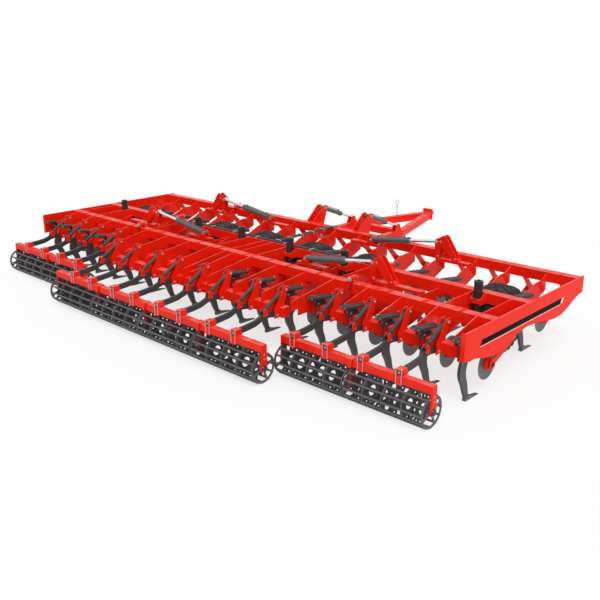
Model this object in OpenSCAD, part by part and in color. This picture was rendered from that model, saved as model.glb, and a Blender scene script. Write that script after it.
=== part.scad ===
// Folding stubble cultivator: a centre section and two wings, each with two rows of sprung tines,
// a coulter disc ahead of every tine, and a gang of cage rollers behind.
// X runs to the right, Y forward to the hitch, Z up from the floor.
// Stations along Y are measured from the side plates' rear edge and moved by st() to the middle.

/* [Rows] */
// Distance between neighbouring tines of one row
row_pitch = 600; // [590:1:612]
// Distance from the rear tine row forward to the front tine row
row_shift = 2013; // [2005:1:2030]
// How far the outermost rear tine stands in from its row line
edge_inset = 20; // [16:1:30]

/* [Frame] */
// Height of the frame's top over the floor
frame_top = 1027; // [1020:1:1040]
// Height of the three cross beams
beam_h = 150; // [140:1:156]
// Depth of the three cross beams from front to back
beam_w = 150; // [130:1:156]
// Station of the rear beam's middle
rear_beam_y = 706; // [690:1:730]
// Station of the middle beam's middle
mid_beam_y = 1621; // [1600:1:1630]
// Station of the front beam's middle
front_beam_y = 3160; // [3140:1:3160]
// Length of the side plates
plate_len = 3290; // [3270:1:3320]
// Thickness of the side plates
plate_t = 25; // [12:1:26]
// Side plate's outer face from the outermost row line
plate_out = 115; // [112:1:125]
// How far the side plates reach behind their station zero, to their bent edge
plate_back = 40; // [38:1:46]
// Width of the side plates' bent rear edge
plate_flange = 38; // [30:1:39]
// Thickness of the lengthwise webs
web_t = 15; // [10:1:16]
// Top of the webs between two beams
bay_top = 930; // [915:1:940]
// Top of the webs at their rear end
web_rear_top = 900; // [860:1:940]
// Top of the tool bars
bar_top = 760; // [750:1:770]
// Height of the tool bars
bar_h = 145; // [135:1:155]
// Depth of the tool bars from front to back
bar_w = 140; // [126:1:144]
// Station of the rear tool bar's middle
bar_y = 200; // [190:1:215]
// Station of the centre section's roller bar
roller_bar_y = -230; // [-250:1:-215]

/* [Tines] */
// Thickness of a tine's shank
shank_t = 40; // [30:1:44]
// Depth of the shank at its top, from front to back
shank_d = 158; // [150:1:164]
// Depth of the shank at its foot
shank_foot = 70; // [60:1:80]
// How far the shank bows back under the tool bar
shank_bow = 40; // [30:1:50]
// How far the shank's foot stands ahead of the tool bar's middle
shank_reach = 105; // [95:1:115]
// Width of the share
share_w = 50; // [40:1:60]
// Length of the share ahead of the shank
share_len = 245; // [225:1:255]
// Thickness of the clamp under the tool bar
clamp_t = 28; // [20:1:34]
// Radius of one spring of the twin pack
spring_r = 30; // [24:1:32]
// Length of the twin spring pack
spring_len = 440; // [400:1:450]

/* [Discs] */
// Radius of a coulter disc
disc_r = 225; // [205:1:240]
// Thickness of a coulter disc
disc_t = 6; // [5:1:8]
// Station of the rear discs' axle
disc_y = 790; // [780:1:810]
// Height of the discs' axles
disc_z = 360; // [345:1:380]
// Station of the rear discs' arm pivot
disc_pivot_y = 1340; // [1325:1:1350]
// Height of the discs' arm pivots
disc_pivot_z = 600; // [585:1:605]
// Distance from the rear discs forward to the front discs
disc_shift = 2120; // [2100:1:2140]
// Thickness of a disc arm
disc_arm_t = 15; // [12:1:18]

/* [Rollers] */
// Radius of the cage rollers
roller_r = 220; // [205:1:222]
// Radius of a roller bar
roller_bar_r = 14; // [10:1:16]
// Bars round one roller
roller_bars = 12; // [10:1:14]
// Station of the wings' roller axles
wing_roller_y = -640; // [-645:1:-620]
// Station of the centre section's roller axles
centre_roller_y = -1100; // [-1130:1:-1100]
// Side of the square roller beams
roller_beam_w = 100; // [80:1:110]
// Gap between the rollers and the beam over them
roller_beam_gap = 21; // [15:1:40]
// Thickness of the roller end plates
end_plate_t = 20; // [16:1:24]
// Thickness of the arms that carry the rollers
roller_arm_t = 40; // [30:1:42]
// Depth of the arms that carry the rollers
roller_arm_d = 85; // [70:1:90]
// Top of the brackets that carry the roller arms
bracket_top = 1040; // [1020:1:1060]

/* [Wheels] */
// Radius of the tyres
tyre_r = 505; // [495:1:520]
// Width of the tyres
tyre_w = 400; // [370:1:410]
// Radius of the rims
rim_r = 286; // [270:1:300]
// Gap between the tyres and the middle beam
tyre_gap = 42; // [38:1:46]
// Radius of the wheel axles
axle_r = 35; // [30:1:42]
// Top of the lift cylinders
post_top = 1212; // [1180:1:1240]
// Radius of the lift cylinders
post_r = 60; // [50:1:62]
// Station of the lift cylinders
post_y = 1450; // [1445:1:1465]

/* [Fold] */
// Hinge line from the centre section's last rear tine
hinge_out = 168; // [160:1:172]
// Height of the hinge pins over the frame's top
hinge_up = 50; // [50:1:60]
// Radius of the hinge pins
hinge_pin_r = 22; // [18:1:26]
// Radius of the hinge knuckles
knuckle_r = 42; // [38:1:44]
// Fold cylinders' fixed pins, from the middle of the machine
fold_anchor_x = 1260; // [1220:1:1300]
// Height of the fold cylinders' fixed pins over the webs
fold_anchor_up = 115; // [112:1:125]
// Fold cylinders' rod pins out from the hinge line
fold_pin_out = 50; // [40:1:60]
// Fold cylinders' rod pins up from the hinge line
fold_pin_up = 165; // [150:1:175]
// Radius of the fold cylinders
fold_barrel_r = 50; // [40:1:54]
// Radius of the fold cylinders' rods
fold_rod_r = 28; // [22:1:32]
// Length of the fold cylinders' barrels
fold_barrel_len = 800; // [760:1:830]
// Station of the rear fold cylinders
fold_rear_y = 1150; // [1130:1:1170]
// Station of the front fold cylinders
fold_front_y = 2860; // [2845:1:2870]
// Top of the wings' fold towers
tower_top = 1365; // [1345:1:1375]

/* [Drawbar] */
// Station of the hitch eye
hitch_y = 6609; // [6500:1:6700]
// Radius of the hitch eye's bore
hitch_r = 25; // [20:1:30]
// Thickness of the hitch eye
hitch_t = 45; // [35:1:60]
// Height of the hitch eye's middle
hitch_z = 757; // [745:1:765]
// Drawbar's side beams from the middle of the machine
drawbar_x = 570; // [540:1:600]
// Width of the drawbar's beams
drawbar_w = 110; // [90:1:116]
// Height of the drawbar's beams
drawbar_h = 140; // [120:1:150]
// Station of the drawbar's pivot
drawbar_y = 3480; // [3460:1:3500]
// Height of the drawbar's pivot
drawbar_z = 725; // [715:1:735]
// Station where the drawbar's sides start to run together
drawbar_bend_y = 4650; // [4600:1:4700]
// Station of the levelling cylinders' fixed pins
level_y = 3585; // [3570:1:3600]
// Height of the levelling cylinders' fixed pins
level_z = 1250; // [1235:1:1260]
// Station of the levelling cylinders' rod pins
level_rod_y = 4525; // [4500:1:4540]
// Height of the levelling cylinders' rod pins
level_rod_z = 905; // [895:1:915]
// Radius of the levelling cylinders
level_r = 42; // [36:1:44]

/* [Clearances] */
// Clearance round a pin in its bore
pin_gap = 0.4; // [0.3:0.1:0.8]
// Gap beside a moving piece
side_gap = 6; // [5:0.5:8]

/* [Hidden] */
$fn = 48;

red = "#d8200f";
black = "#1c1c1e";
steel = "#5a5c60";
silver = "#c8cacc";

// The machine's middle, which is the model's origin along Y
hitch_eye_r = hitch_r + 35;
y_mid = (hitch_y + hitch_eye_r + centre_roller_y - roller_r) / 2;
function st(y) = y - y_mid;

// Tine lines along X
centre_rows = 4;
wing_rows = 4;
all_rows = centre_rows + wing_rows;
centre_rear = [for (k = [1:centre_rows]) k * row_pitch];
wing_rear = [for (k = [centre_rows + 1:all_rows]) k * row_pitch - (k == all_rows ? edge_inset : 0)];
centre_front = [for (k = [1:centre_rows]) (k - 0.5) * row_pitch];
wing_front = [for (k = [centre_rows + 1:all_rows]) (k - 0.5) * row_pitch];
centre_wheels = [row_pitch, 3 * row_pitch];
wing_wheel = 7 * row_pitch;

// Frame
hinge_x = centre_rows * row_pitch + hinge_out;
hinge_z = frame_top + hinge_up;
plate_x = all_rows * row_pitch + plate_out;
plate_in = plate_x - plate_t;
beam_bottom = frame_top - beam_h;
bar_bottom = bar_top - bar_h;
hinge_gap = knuckle_r + 18;
knuckle_w = 56;
lug_t = 25;
front_bar_y = bar_y + row_shift;
mid_rear = mid_beam_y - beam_w / 2;
mid_front = mid_beam_y + beam_w / 2;
wheel_y = mid_front + tyre_gap + sqrt(pow(tyre_r, 2) - pow(beam_bottom - tyre_r, 2));
rear_front = rear_beam_y + beam_w / 2;
rear_rear = rear_beam_y - beam_w / 2;
front_rear = front_beam_y - beam_w / 2;
front_front = front_beam_y + beam_w / 2;
rear_web_off = 100;
strap_h = 8;
front_web_off = 75;
clamp_w = 90;
cross_h = 45;
cross_w = 110;

// Depth of the side plates and webs below the frame's top: station, depth
wave = [[0, 365], [730, 490], [1540, 335], [2525, 446], [plate_len, 250]];
function ease(t) = (1 - cos(180 * t)) / 2;
function wave_depth(y, i = 0) =
  y <= wave[0][0] ? wave[0][1]
  : i >= len(wave) - 1 ? wave[len(wave) - 1][1]
  : y > wave[i + 1][0] ? wave_depth(y, i + 1)
  : wave[i][1] + (wave[i + 1][1] - wave[i][1]) * ease((y - wave[i][0]) / (wave[i + 1][0] - wave[i][0]));
function wave_edge(y0, y1, n) =
  [for (i = [0:n]) let (y = y0 + (y1 - y0) * i / n) [st(y), frame_top - wave_depth(y)]];

// Rollers
roller_top = 2 * roller_r;
roller_beam_z = roller_top + roller_beam_gap;
centre_gang = hinge_x - 15;
centre_roller_pitch = centre_gang / 2;
wing_gang_in = hinge_x - 94;
wing_gang_out = plate_x - 12;
wing_roller_pitch = (wing_gang_out - wing_gang_in) / 2;
stub_r = 25;
arm_off = 265;
centre_arms = [for (k = [0.97, 2.927]) for (s = [-1, 1]) k * row_pitch + s * arm_off];
wing_arms = [for (k = [0:wing_rows - 1]) hinge_x + 119 + k * (row_pitch - 17)];
arm_pivot_back = bar_w / 2 + roller_arm_d / 2 + side_gap;
cheek_back = bar_w / 2 + roller_arm_d + 2 * side_gap;
arm_pivot_z = 660;
arm_hump = 40;
strut_back = 220;
strut_r = 28;
strut_pin_r = 15;
strut_eye_r = 30;
cheek_t = 12;
cheek_in = max(roller_arm_t / 2, strut_r) + 3;

// Wheels
fork_in = tyre_w / 2 + 20;
fork_t = 15;
lift_pivot_y = mid_beam_y - 46;
lift_pivot_z = beam_bottom - 77;
lift_pin_z = 600;
lift_pin_r = 25;
front_bar_gap = tyre_w / 2 + side_gap + 2;

// Fold cylinders
fold_anchor_z = bay_top + fold_anchor_up;
fold_pin_x = hinge_x + fold_pin_out;
fold_pin_z = hinge_z + fold_pin_up;
fold_dx = fold_pin_x - fold_anchor_x;
fold_dz = fold_pin_z - fold_anchor_z;
fold_len = sqrt(fold_dx * fold_dx + fold_dz * fold_dz);
fold_angle = atan2(fold_dz, fold_dx);
fold_eye_w = 70;
fold_eye_r = 42;
fold_pin_r = 20;
fold_bore_len = 370;
fold_rod_inside = 100;
tower_t = 15;
tower_foot = 330;
tower_foot_w = 110;
tower_in = wing_front[0] - front_web_off - web_t;

// Drawbar
level_dy = level_rod_y - level_y;
level_dz = level_rod_z - level_z;
level_len = sqrt(level_dy * level_dy + level_dz * level_dz);
level_angle = atan2(level_dz, level_dy);
level_eye_w = 60;
level_eye_r = 38;
level_barrel_len = 620;
level_rod_r = 22;
level_rod_inside = 80;
drawbar_pin_r = 30;
drawbar_eye_r = 75;
drawbar_tower_t = 25;
drawbar_tower_in = drawbar_w / 2 + side_gap;
head_len = 130;
head_y = hitch_y - head_len;
head_web = 170;
level_bore = 300;

// Shapes that repeat
module box(x0, x1, y0, y1, z0, z1)
  translate([x0, y0, z0]) cube([x1 - x0, y1 - y0, z1 - z0]);

// A plate across X, drawn in the plane of Y and Z
module plate_x(x, t)
  translate([x, 0, 0]) rotate([90, 0, 90]) linear_extrude(t) children();

// A plate across Y, drawn in the plane of X and Z
module plate_y(y, t)
  translate([0, y + t, 0]) rotate([90, 0, 0]) linear_extrude(t) children();

module rod_x(x0, x1, y, z, r)
  translate([x0, y, z]) rotate([0, 90, 0]) cylinder(h = x1 - x0, r = r);

module rod_y(x, y0, y1, z, r)
  translate([x, y1, z]) rotate([90, 0, 0]) cylinder(h = y1 - y0, r = r);

module side(s) {
  if (s > 0) children();
  else mirror([1, 0, 0]) children();
}

module both() {
  children();
  mirror([1, 0, 0]) children();
}

module rect2d(y0, y1, z0, z1)
  translate([y0, z0]) square([y1 - y0, z1 - z0]);

// A flat link between two eyes in a plate's plane
module link2d(a, b, ra, rb) {
  d = b - a;
  n = [-d[1], d[0]] / norm(d);
  translate(a) circle(r = ra);
  translate(b) circle(r = rb);
  flank = 0.98;
  polygon([a + n * ra * flank, b + n * rb * flank, b - n * rb * flank, a - n * ra * flank]);
}

// Frame
module beams(x0, x1) {
  for (y = [rear_beam_y, mid_beam_y, front_beam_y])
    box(x0, x1, st(y) - beam_w / 2, st(y) + beam_w / 2, beam_bottom, frame_top);
}

module tool_bar(x0, x1, y)
  box(x0, x1, st(y) - bar_w / 2, st(y) + bar_w / 2, bar_bottom, bar_top);

module lug2d(inner)
  union() {
    e = inner ? hinge_x - hinge_gap : hinge_x + hinge_gap;
    s = inner ? -1 : 1;
    translate([hinge_x, hinge_z]) circle(r = knuckle_r);
    polygon([
      [e, frame_top - 130], [e, frame_top], [hinge_x + s * 8, hinge_z + knuckle_r - 2],
      [hinge_x - s * 30, hinge_z - 28]
    ]);
  }

module centre_knuckle(y) {
  lug_y = knuckle_w / 2 + side_gap;
  for (d = [lug_y, -lug_y - lug_t])
    plate_y(st(y) + d, lug_t) lug2d(true);
  rod_y(hinge_x, st(y) - lug_y - lug_t - 12, st(y) + lug_y + lug_t + 12, hinge_z, hinge_pin_r);
}

module wing_knuckle(y)
  difference() {
    plate_y(st(y) - knuckle_w / 2, knuckle_w) lug2d(false);
    rod_y(hinge_x, st(y) - knuckle_w, st(y) + knuckle_w, hinge_z, hinge_pin_r + pin_gap);
  }

module frame_centre()
  color(red) {
    end = hinge_x - hinge_gap;
    beams(-end, end);
    both() for (y = [rear_beam_y, mid_beam_y, front_beam_y]) centre_knuckle(y);
    tool_bar(-end, end, bar_y);
    roller_bar_end = centre_arms[3] + 110;
    tool_bar(-roller_bar_end, roller_bar_end, roller_bar_y);
    inner = centre_wheels[0];
    outer = centre_wheels[1];
    tool_bar(-inner + front_bar_gap, inner - front_bar_gap, front_bar_y);
    both() {
      tool_bar(inner + front_bar_gap, outer - front_bar_gap, front_bar_y);
      tool_bar(outer + front_bar_gap, end, front_bar_y);
      fold_anchor(centre_rear[1] - rear_web_off - web_t, centre_rear[2] - rear_web_off, fold_rear_y);
      fold_anchor(centre_front[1] - front_web_off - web_t, centre_front[2] - front_web_off, fold_front_y);
    }
  }

module frame_wing()
  color(red) {
    start = hinge_x + hinge_gap;
    beams(start, plate_in);
    for (y = [rear_beam_y, mid_beam_y, front_beam_y]) wing_knuckle(y);
    tool_bar(start, plate_in, bar_y);
    tool_bar(start, wing_wheel - front_bar_gap, front_bar_y);
    tool_bar(wing_wheel + front_bar_gap, plate_in, front_bar_y);
    fold_tower(tower_in, wing_rear[1] - rear_web_off, fold_rear_y);
    fold_tower(tower_in, wing_front[1] - front_web_off, fold_front_y);
  }

module frame_left() side(-1) frame_wing();
module frame_right() side(1) frame_wing();

// Webs, side plates, brackets and towers
module beam_cut(y)
  rect2d(st(y) - beam_w / 2, st(y) + beam_w / 2, beam_bottom, frame_top);

module bar_cut(y)
  rect2d(st(y) - bar_w / 2, st(y) + bar_w / 2, bar_bottom, bar_top);

module rear_web2d(y0, seat = false)
  difference() {
    polygon(concat(wave_edge(y0, mid_rear, 16), seat
      ? [[st(mid_rear), bay_top], [st(rear_front), bay_top], [st(rear_rear), frame_top - 15], [st(y0), web_rear_top]]
      : [[st(mid_rear), frame_top + strap_h], [st(rear_rear), frame_top + strap_h], [st(y0), web_rear_top]]));
    beam_cut(rear_beam_y);
    bar_cut(bar_y);
    bar_cut(roller_bar_y);
    translate([st(lift_pivot_y) - 60, 0]) square([120, lift_pivot_z + 60]);
  }

module front_web2d() {
  y0 = front_bar_y - bar_w / 2;
  seat_front = fold_front_y + cross_w / 2 + 20;
  seat_rear = fold_front_y - cross_w / 2 - 20;
  low = bar_top + 30;
  foot = front_bar_y + bar_w / 2 + 20;
  difference() {
    polygon(concat(wave_edge(y0, front_rear, 12), [
      [st(front_rear), frame_top - 15], [st(seat_front), bay_top]
    ], [for (i = [0:6]) let (t = i / 6)
      [st(seat_rear + (foot - seat_rear) * t), bay_top + (low - bay_top) * ease(t)]],
      [[st(y0), low]]));
    bar_cut(front_bar_y);
  }
}

module bay_web2d()
  polygon(concat(wave_edge(rear_front, mid_rear, 8), [[st(mid_rear), bay_top], [st(rear_front), bay_top]]));

module side_plate() {
  plate_x(plate_in, plate_t)
    polygon(concat([[st(-plate_back), frame_top - wave[0][1]]], wave_edge(0, plate_len, 28),
      [[st(plate_len), frame_top], [st(-plate_back), frame_top]]));
  box(plate_in - plate_flange, plate_in + 1, st(-plate_back), st(-plate_back) + 12, frame_top - wave[0][1], frame_top);
}

// Bracket over a bar that holds one roller arm: b is the bar's station
module bracket(x, b) {
  for (x0 = [x - cheek_in - cheek_t, x + cheek_in])
    plate_x(x0, cheek_t)
      difference() {
        polygon([
          [st(b - cheek_back), bar_bottom], [st(b - bar_w / 2), bar_bottom],
          [st(b - bar_w / 2), bar_top], [st(b + bar_w / 2 - 50), bar_top],
          [st(b + 120), bracket_top], [st(b + 20), bracket_top],
          [st(b - cheek_back), bar_top - 20]
        ]);
        for (i = [0:2])
          translate([st(b + 8 + 22 * i), bracket_top - 210 + 55 * i]) circle(r = 13);
      }
  x1 = cheek_in + cheek_t + 8;
  rod_x(x - x1, x + x1, st(b - arm_pivot_back), arm_pivot_z, strut_pin_r);
  rod_x(x - x1, x + x1, st(b + 64), bracket_top - 42, strut_pin_r);
}

// Fork and lever of one wheel, with its axle and the lift cylinder's pin and ring
module wheel_fork(x) {
  pivot = [st(lift_pivot_y), lift_pivot_z];
  axle = [st(wheel_y), tyre_r];
  pin = [st(post_y), lift_pin_z];
  for (x0 = [x - fork_in - fork_t, x + fork_in])
    plate_x(x0, fork_t) {
      link2d(pivot, axle, 70, 60);
      link2d(pivot, pin, 70, 45);
    }
  rod_x(x - fork_in, x + fork_in, pivot[0], pivot[1], 55);
  rod_x(x - fork_in, x + fork_in, axle[0], axle[1], axle_r);
  rod_x(x - fork_in, x + fork_in, pin[0], pin[1], lift_pin_r);
  for (x0 = [x - 95, x + 55])
    box(x0, x0 + 40, pivot[0] - 45, pivot[0] + 45, pivot[1], beam_bottom);
}

module post_ring(x) {
  ring_half = post_r + 10;
  difference() {
    box(x - ring_half, x + ring_half, st(post_y) - ring_half, st(mid_rear), beam_bottom + 25, beam_bottom + 85);
    translate([x, st(post_y), 0]) cylinder(h = frame_top, r = post_r + pin_gap);
  }
  for (x0 = [x - ring_half - 12, x + ring_half])
    plate_x(x0, 12)
      polygon([
        [st(mid_rear), beam_bottom], [st(mid_rear), frame_top],
        [st(mid_rear) - 60, frame_top], [st(post_y) - ring_half, beam_bottom + 85],
        [st(post_y) - ring_half, beam_bottom]
      ]);
}

// Cross member that lies on the webs' tops
module cross(x0, x1, y)
  box(x0, x1, st(y) - cross_w / 2, st(y) + cross_w / 2, bay_top, bay_top + cross_h);

module fold_anchor(x0, x1, y) {
  cross(x0, x1, y);
  lug_in = fold_eye_w / 2 + side_gap;
  for (d = [lug_in, -lug_in - tower_t])
    plate_y(st(y) + d, tower_t) {
      translate([fold_anchor_x, fold_anchor_z]) circle(r = fold_eye_r);
      polygon([
        [fold_anchor_x - 90, bay_top + cross_h - 1], [fold_anchor_x + 90, bay_top + cross_h - 1],
        [fold_anchor_x + fold_eye_r, fold_anchor_z], [fold_anchor_x - fold_eye_r, fold_anchor_z]
      ]);
    }
  rod_y(fold_anchor_x, st(y) - lug_in - tower_t, st(y) + lug_in + tower_t, fold_anchor_z, fold_pin_r);
}

module fold_tower(x0, x1, y) {
  cross(x0, x1, y);
  lug_in = fold_eye_w / 2 + side_gap;
  base = bay_top + cross_h - 1;
  top_x = fold_pin_x + 125;
  foot = x0 + tower_foot;
  for (d = [lug_in, -lug_in - tower_t])
    plate_y(st(y) + d, tower_t)
      difference() {
        polygon([
          [x0, base], [x0 + 75, base], [fold_pin_x + 75, fold_pin_z - 40], [foot, base],
          [foot + tower_foot_w, base], [top_x + 45, tower_top - 15], [top_x, tower_top],
          [fold_pin_x - 20, fold_pin_z + 38], [fold_pin_x - 34, fold_pin_z - 20]
        ]);
        translate([fold_pin_x, fold_pin_z]) circle(r = fold_pin_r);
      }
  plate_y(st(y) - lug_in, 2 * lug_in)
    rect2d(foot + 15, foot + tower_foot_w - 15, base, base + 30);
}

// Tower that carries the drawbar's pivot and a levelling cylinder
module drawbar_tower() {
  for (x0 = [drawbar_x - drawbar_tower_in - drawbar_tower_t, drawbar_x + drawbar_tower_in])
    plate_x(x0, drawbar_tower_t)
      polygon([
        [st(front_front), beam_bottom], [st(front_front), frame_top],
        [st(level_y) - 45, level_z + 50], [st(level_y) + 45, level_z + 50], [st(level_y) + 55, level_z - 40],
        [st(drawbar_y) + 60, beam_bottom + 40], [st(drawbar_y) + 80, drawbar_z],
        [st(drawbar_y) + 40, drawbar_z - 70], [st(drawbar_y) - 50, drawbar_z - 70]
      ]);
  x1 = drawbar_tower_in + drawbar_tower_t;
  rod_x(drawbar_x - x1, drawbar_x + x1, st(drawbar_y), drawbar_z, drawbar_pin_r);
  rod_x(drawbar_x - x1, drawbar_x + x1, st(level_y), level_z, fold_pin_r);
}

module webs_centre()
  color(red) {
    y0 = roller_bar_y - bar_w / 2;
    both() {
      plate_x(rear_web_off, web_t) rear_web2d(y0);
      for (k = [0:centre_rows - 1])
        plate_x(centre_rear[k] - rear_web_off - web_t, web_t) rear_web2d(y0, k == 1 || k == 2);
      for (x = centre_front) plate_x(x - front_web_off - web_t, web_t) front_web2d();
      for (x = centre_arms) bracket(x, roller_bar_y);
      for (x = centre_wheels) post_ring(x);
      drawbar_tower();
    }
  }

module webs_wing()
  color(red) {
    side_plate();
    for (k = [0:wing_rows - 1])
      plate_x(wing_rear[k] - rear_web_off - web_t, web_t) rear_web2d(bar_y - bar_w / 2, k < 2);
    for (x = wing_front) plate_x(x - front_web_off - web_t, web_t) front_web2d();
    plate_x(tower_in, web_t) bay_web2d();
    for (x = wing_arms) bracket(x, bar_y);
    post_ring(wing_wheel);
  }

module webs_left() side(-1) webs_wing();
module webs_right() side(1) webs_wing();

// Tines: b is the tool bar's station, and t runs from the shank's top to its foot
foot_z = 40;
function shank_y(t) = shank_reach * pow(max(0, (t - 0.2) / 0.8), 2) - shank_bow * sin(180 * min(1, t / 0.62));
function shank_half(t) = (shank_d - (shank_d - shank_foot) * pow(t, 1.6)) / 2;
module tine(x, b) {
  top = bar_bottom - clamp_t;
  n = 12;
  rows = [for (i = [0:n]) let (t = i / n) [st(b) + shank_y(t), top - (top - foot_z) * t, shank_half(t)]];
  heel = st(b) + shank_reach;
  half = shank_foot / 2;
  tip = heel + half + share_len;
  box(x - clamp_w / 2, x + clamp_w / 2, st(b) - bar_w / 2 - 25, st(b) + bar_w / 2 + 25, top, bar_bottom);
  plate_x(x - shank_t / 2, shank_t)
    polygon(concat([for (r = rows) [r[0] + r[2], r[1]]], [for (i = [n:-1:0]) [rows[i][0] - rows[i][2], rows[i][1]]]));
  plate_x(x - share_w / 2, share_w)
    polygon([
      [heel - half - 8, 0], [tip, 0], [tip - 6, 7], [heel + half + share_len * 0.5, 27],
      [heel + half + 40, 46], [heel + half, 80], [heel - half + 4, 80], [heel - half - 8, 34]
    ]);
}

module tines_centre()
  color(black) {
    tine(0, bar_y);
    both() {
      for (x = centre_rear) tine(x, bar_y);
      for (x = centre_front) tine(x, front_bar_y);
    }
  }

module tines_wing()
  color(black) {
    for (x = wing_rear) tine(x, bar_y);
    for (x = wing_front) tine(x, front_bar_y);
  }

module tines_left() side(-1) tines_wing();
module tines_right() side(1) tines_wing();

// Twin spring pack of one tine with its bolts round the tool bar
spring_slope = 8.7;
spring_x = spring_r + 4;
spring_z = bar_top + 112;
module spring_pack(x, b) {
  box(x - clamp_w / 2, x + clamp_w / 2, st(b) - bar_w / 2 - 25, st(b) + bar_w / 2 + 25, bar_top, bar_top + 40);
  box(x - 26, x + 26, st(b) - 60, st(b) + 60, bar_top + 39, spring_z);
  translate([x, st(b), spring_z])
    rotate([-90 - spring_slope, 0, 0]) {
      for (s = [-1, 1]) translate([s * spring_x, 0, 0]) cylinder(h = spring_len, r = spring_r, center = true);
      for (z = [-spring_len / 2 - 6, spring_len / 2 - 6])
        translate([-spring_x, -spring_r + 4, z]) cube([2 * spring_x, 2 * spring_r - 8, 12]);
    }
  for (s = [-1, 1]) for (d = [-1, 1])
    translate([x + s * 34, st(b) + d * (bar_w / 2 + 12), bar_bottom]) cylinder(h = bar_h + 1, r = 9);
}

// Strut from a bracket's top pin down to the roller arm
module strut(x, b) {
  top = [st(b + 64), bracket_top - 42];
  low = [st(b - arm_pivot_back - strut_back), arm_z(strut_back, b) + roller_arm_d / 2 + strut_eye_r + 6];
  d = low - top;
  a = atan2(d[1], d[0]);
  difference() {
    union() {
      for (p = [top, low]) rod_x(x - roller_arm_t / 2, x + roller_arm_t / 2, p[0], p[1], strut_eye_r);
      translate([x, top[0], top[1]]) rotate([a - 90, 0, 0]) {
        translate([0, 0, strut_eye_r - 6]) cylinder(h = norm(d) - 2 * strut_eye_r + 12, r = strut_r - 10);
        translate([0, 0, strut_eye_r + 30]) cylinder(h = norm(d) - 2 * strut_eye_r - 60, r = strut_r);
      }
    }
    for (p = [top, low]) rod_x(x - roller_arm_t, x + roller_arm_t, p[0], p[1], strut_pin_r + pin_gap);
  }
}

// Rubber sprung pivot of one disc arm, on the side s of its disc
module disc_spring(x, y, s = -1, reach = -hub_out - side_gap - disc_arm_t)
  translate([x, 0, 0]) side(-s)
    rod_x(-rear_web_off - web_t, reach, st(y), disc_pivot_z, 46);

module rear_disc_spring(x) disc_spring(x, disc_pivot_y, reach = hub_out + side_gap);

module springs_centre()
  color(black) {
    spring_pack(0, bar_y);
    rear_disc_spring(0);
    both() {
      for (x = centre_rear) spring_pack(x, bar_y);
      for (x = centre_front) spring_pack(x, front_bar_y);
      for (x = centre_arms) strut(x, roller_bar_y);
      for (x = centre_rear) rear_disc_spring(x);
      for (x = centre_front) disc_spring(x, disc_pivot_y + disc_shift);
    }
  }

module springs_wing()
  color(black) {
    for (x = wing_rear) spring_pack(x, bar_y);
    for (x = wing_front) spring_pack(x, front_bar_y);
    for (x = wing_arms) strut(x, bar_y);
    for (x = wing_rear) rear_disc_spring(x);
    for (x = wing_front) disc_spring(x, disc_pivot_y + disc_shift, 1);
  }

module springs_left() side(-1) springs_wing();
module springs_right() side(1) springs_wing();

// Coulter discs and their trailing arms
hub_out = 45;
hub_r = 60;
disc_pin_r = 20;
module disc_arm(y, pivot_y) {
  pivot = [st(pivot_y), disc_pivot_z];
  hub = [st(y), disc_z];
  arm_x = -hub_out - side_gap - disc_arm_t;
  plate_x(arm_x, disc_arm_t) link2d(pivot, hub, 62, 48);
  rod_x(arm_x, 24, hub[0], hub[1], disc_pin_r);
  rod_x(10 + side_gap, 24, hub[0], hub[1], 32);
}

module disc_hanger(pivot_y, seat) {
  hang_x = -rear_web_off - 2 * web_t;
  pivot = [st(pivot_y), disc_pivot_z];
  plate_x(hang_x, web_t) {
    translate(pivot) circle(r = 62);
    polygon(seat);
  }
  rod_x(hang_x - 22, hang_x, pivot[0], pivot[1], 40);
}

module rear_disc_unit(x)
  translate([x, 0, 0]) {
    side(-1) disc_arm(disc_y, disc_pivot_y);
    disc_hanger(disc_pivot_y, [
      [st(disc_pivot_y) - 62, disc_pivot_z], [st(disc_pivot_y) + 50, disc_pivot_z - 36],
      [st(mid_rear) - 45, beam_bottom - 75], [st(mid_rear), beam_bottom + 10],
      [st(mid_rear), beam_bottom + 40], [st(disc_pivot_y) - 20, beam_bottom - 20]
    ]);
  }

// The arm stands on the side s of its disc
module front_disc_unit(x, s = -1) {
  y = disc_pivot_y + disc_shift;
  translate([x, 0, 0]) side(-s) {
    disc_arm(disc_y + disc_shift, y);
    disc_hanger(y, [
      [st(y) - 50, disc_pivot_z - 36], [st(y) + 62, disc_pivot_z],
      [st(front_front), beam_bottom], [st(front_front) - 120, beam_bottom]
    ]);
  }
}

module disc_arms_centre()
  color(red) {
    rear_disc_unit(0);
    both() {
      for (x = centre_rear) rear_disc_unit(x);
      for (x = centre_front) front_disc_unit(x);
    }
  }

module disc_arms_wing()
  color(red) {
    for (x = wing_rear) rear_disc_unit(x);
    for (x = wing_front) front_disc_unit(x, 1);
  }

module disc_arms_left() side(-1) disc_arms_wing();
module disc_arms_right() side(1) disc_arms_wing();

module disc(x, y, s = -1)
  translate([x, 0, 0]) side(-s)
    difference() {
      union() {
        rod_x(-disc_t / 2, disc_t / 2, st(y), disc_z, disc_r);
        rod_x(-hub_out, 10, st(y), disc_z, hub_r);
      }
      rod_x(-2 * hub_out, hub_out, st(y), disc_z, disc_pin_r + pin_gap);
    }

module rear_discs_centre()
  color(steel) {
    disc(0, disc_y, 1);
    both() for (x = centre_rear) disc(x, disc_y, 1);
  }
module rear_discs_left() color(steel) side(-1) for (x = wing_rear) disc(x, disc_y, 1);
module rear_discs_right() color(steel) side(1) for (x = wing_rear) disc(x, disc_y, 1);
module front_discs_centre() color(steel) both() for (x = centre_front) disc(x, disc_y + disc_shift);
module front_discs_left() color(steel) side(-1) for (x = wing_front) disc(x, disc_y + disc_shift, 1);
module front_discs_right() color(steel) side(1) for (x = wing_front) disc(x, disc_y + disc_shift, 1);

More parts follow.
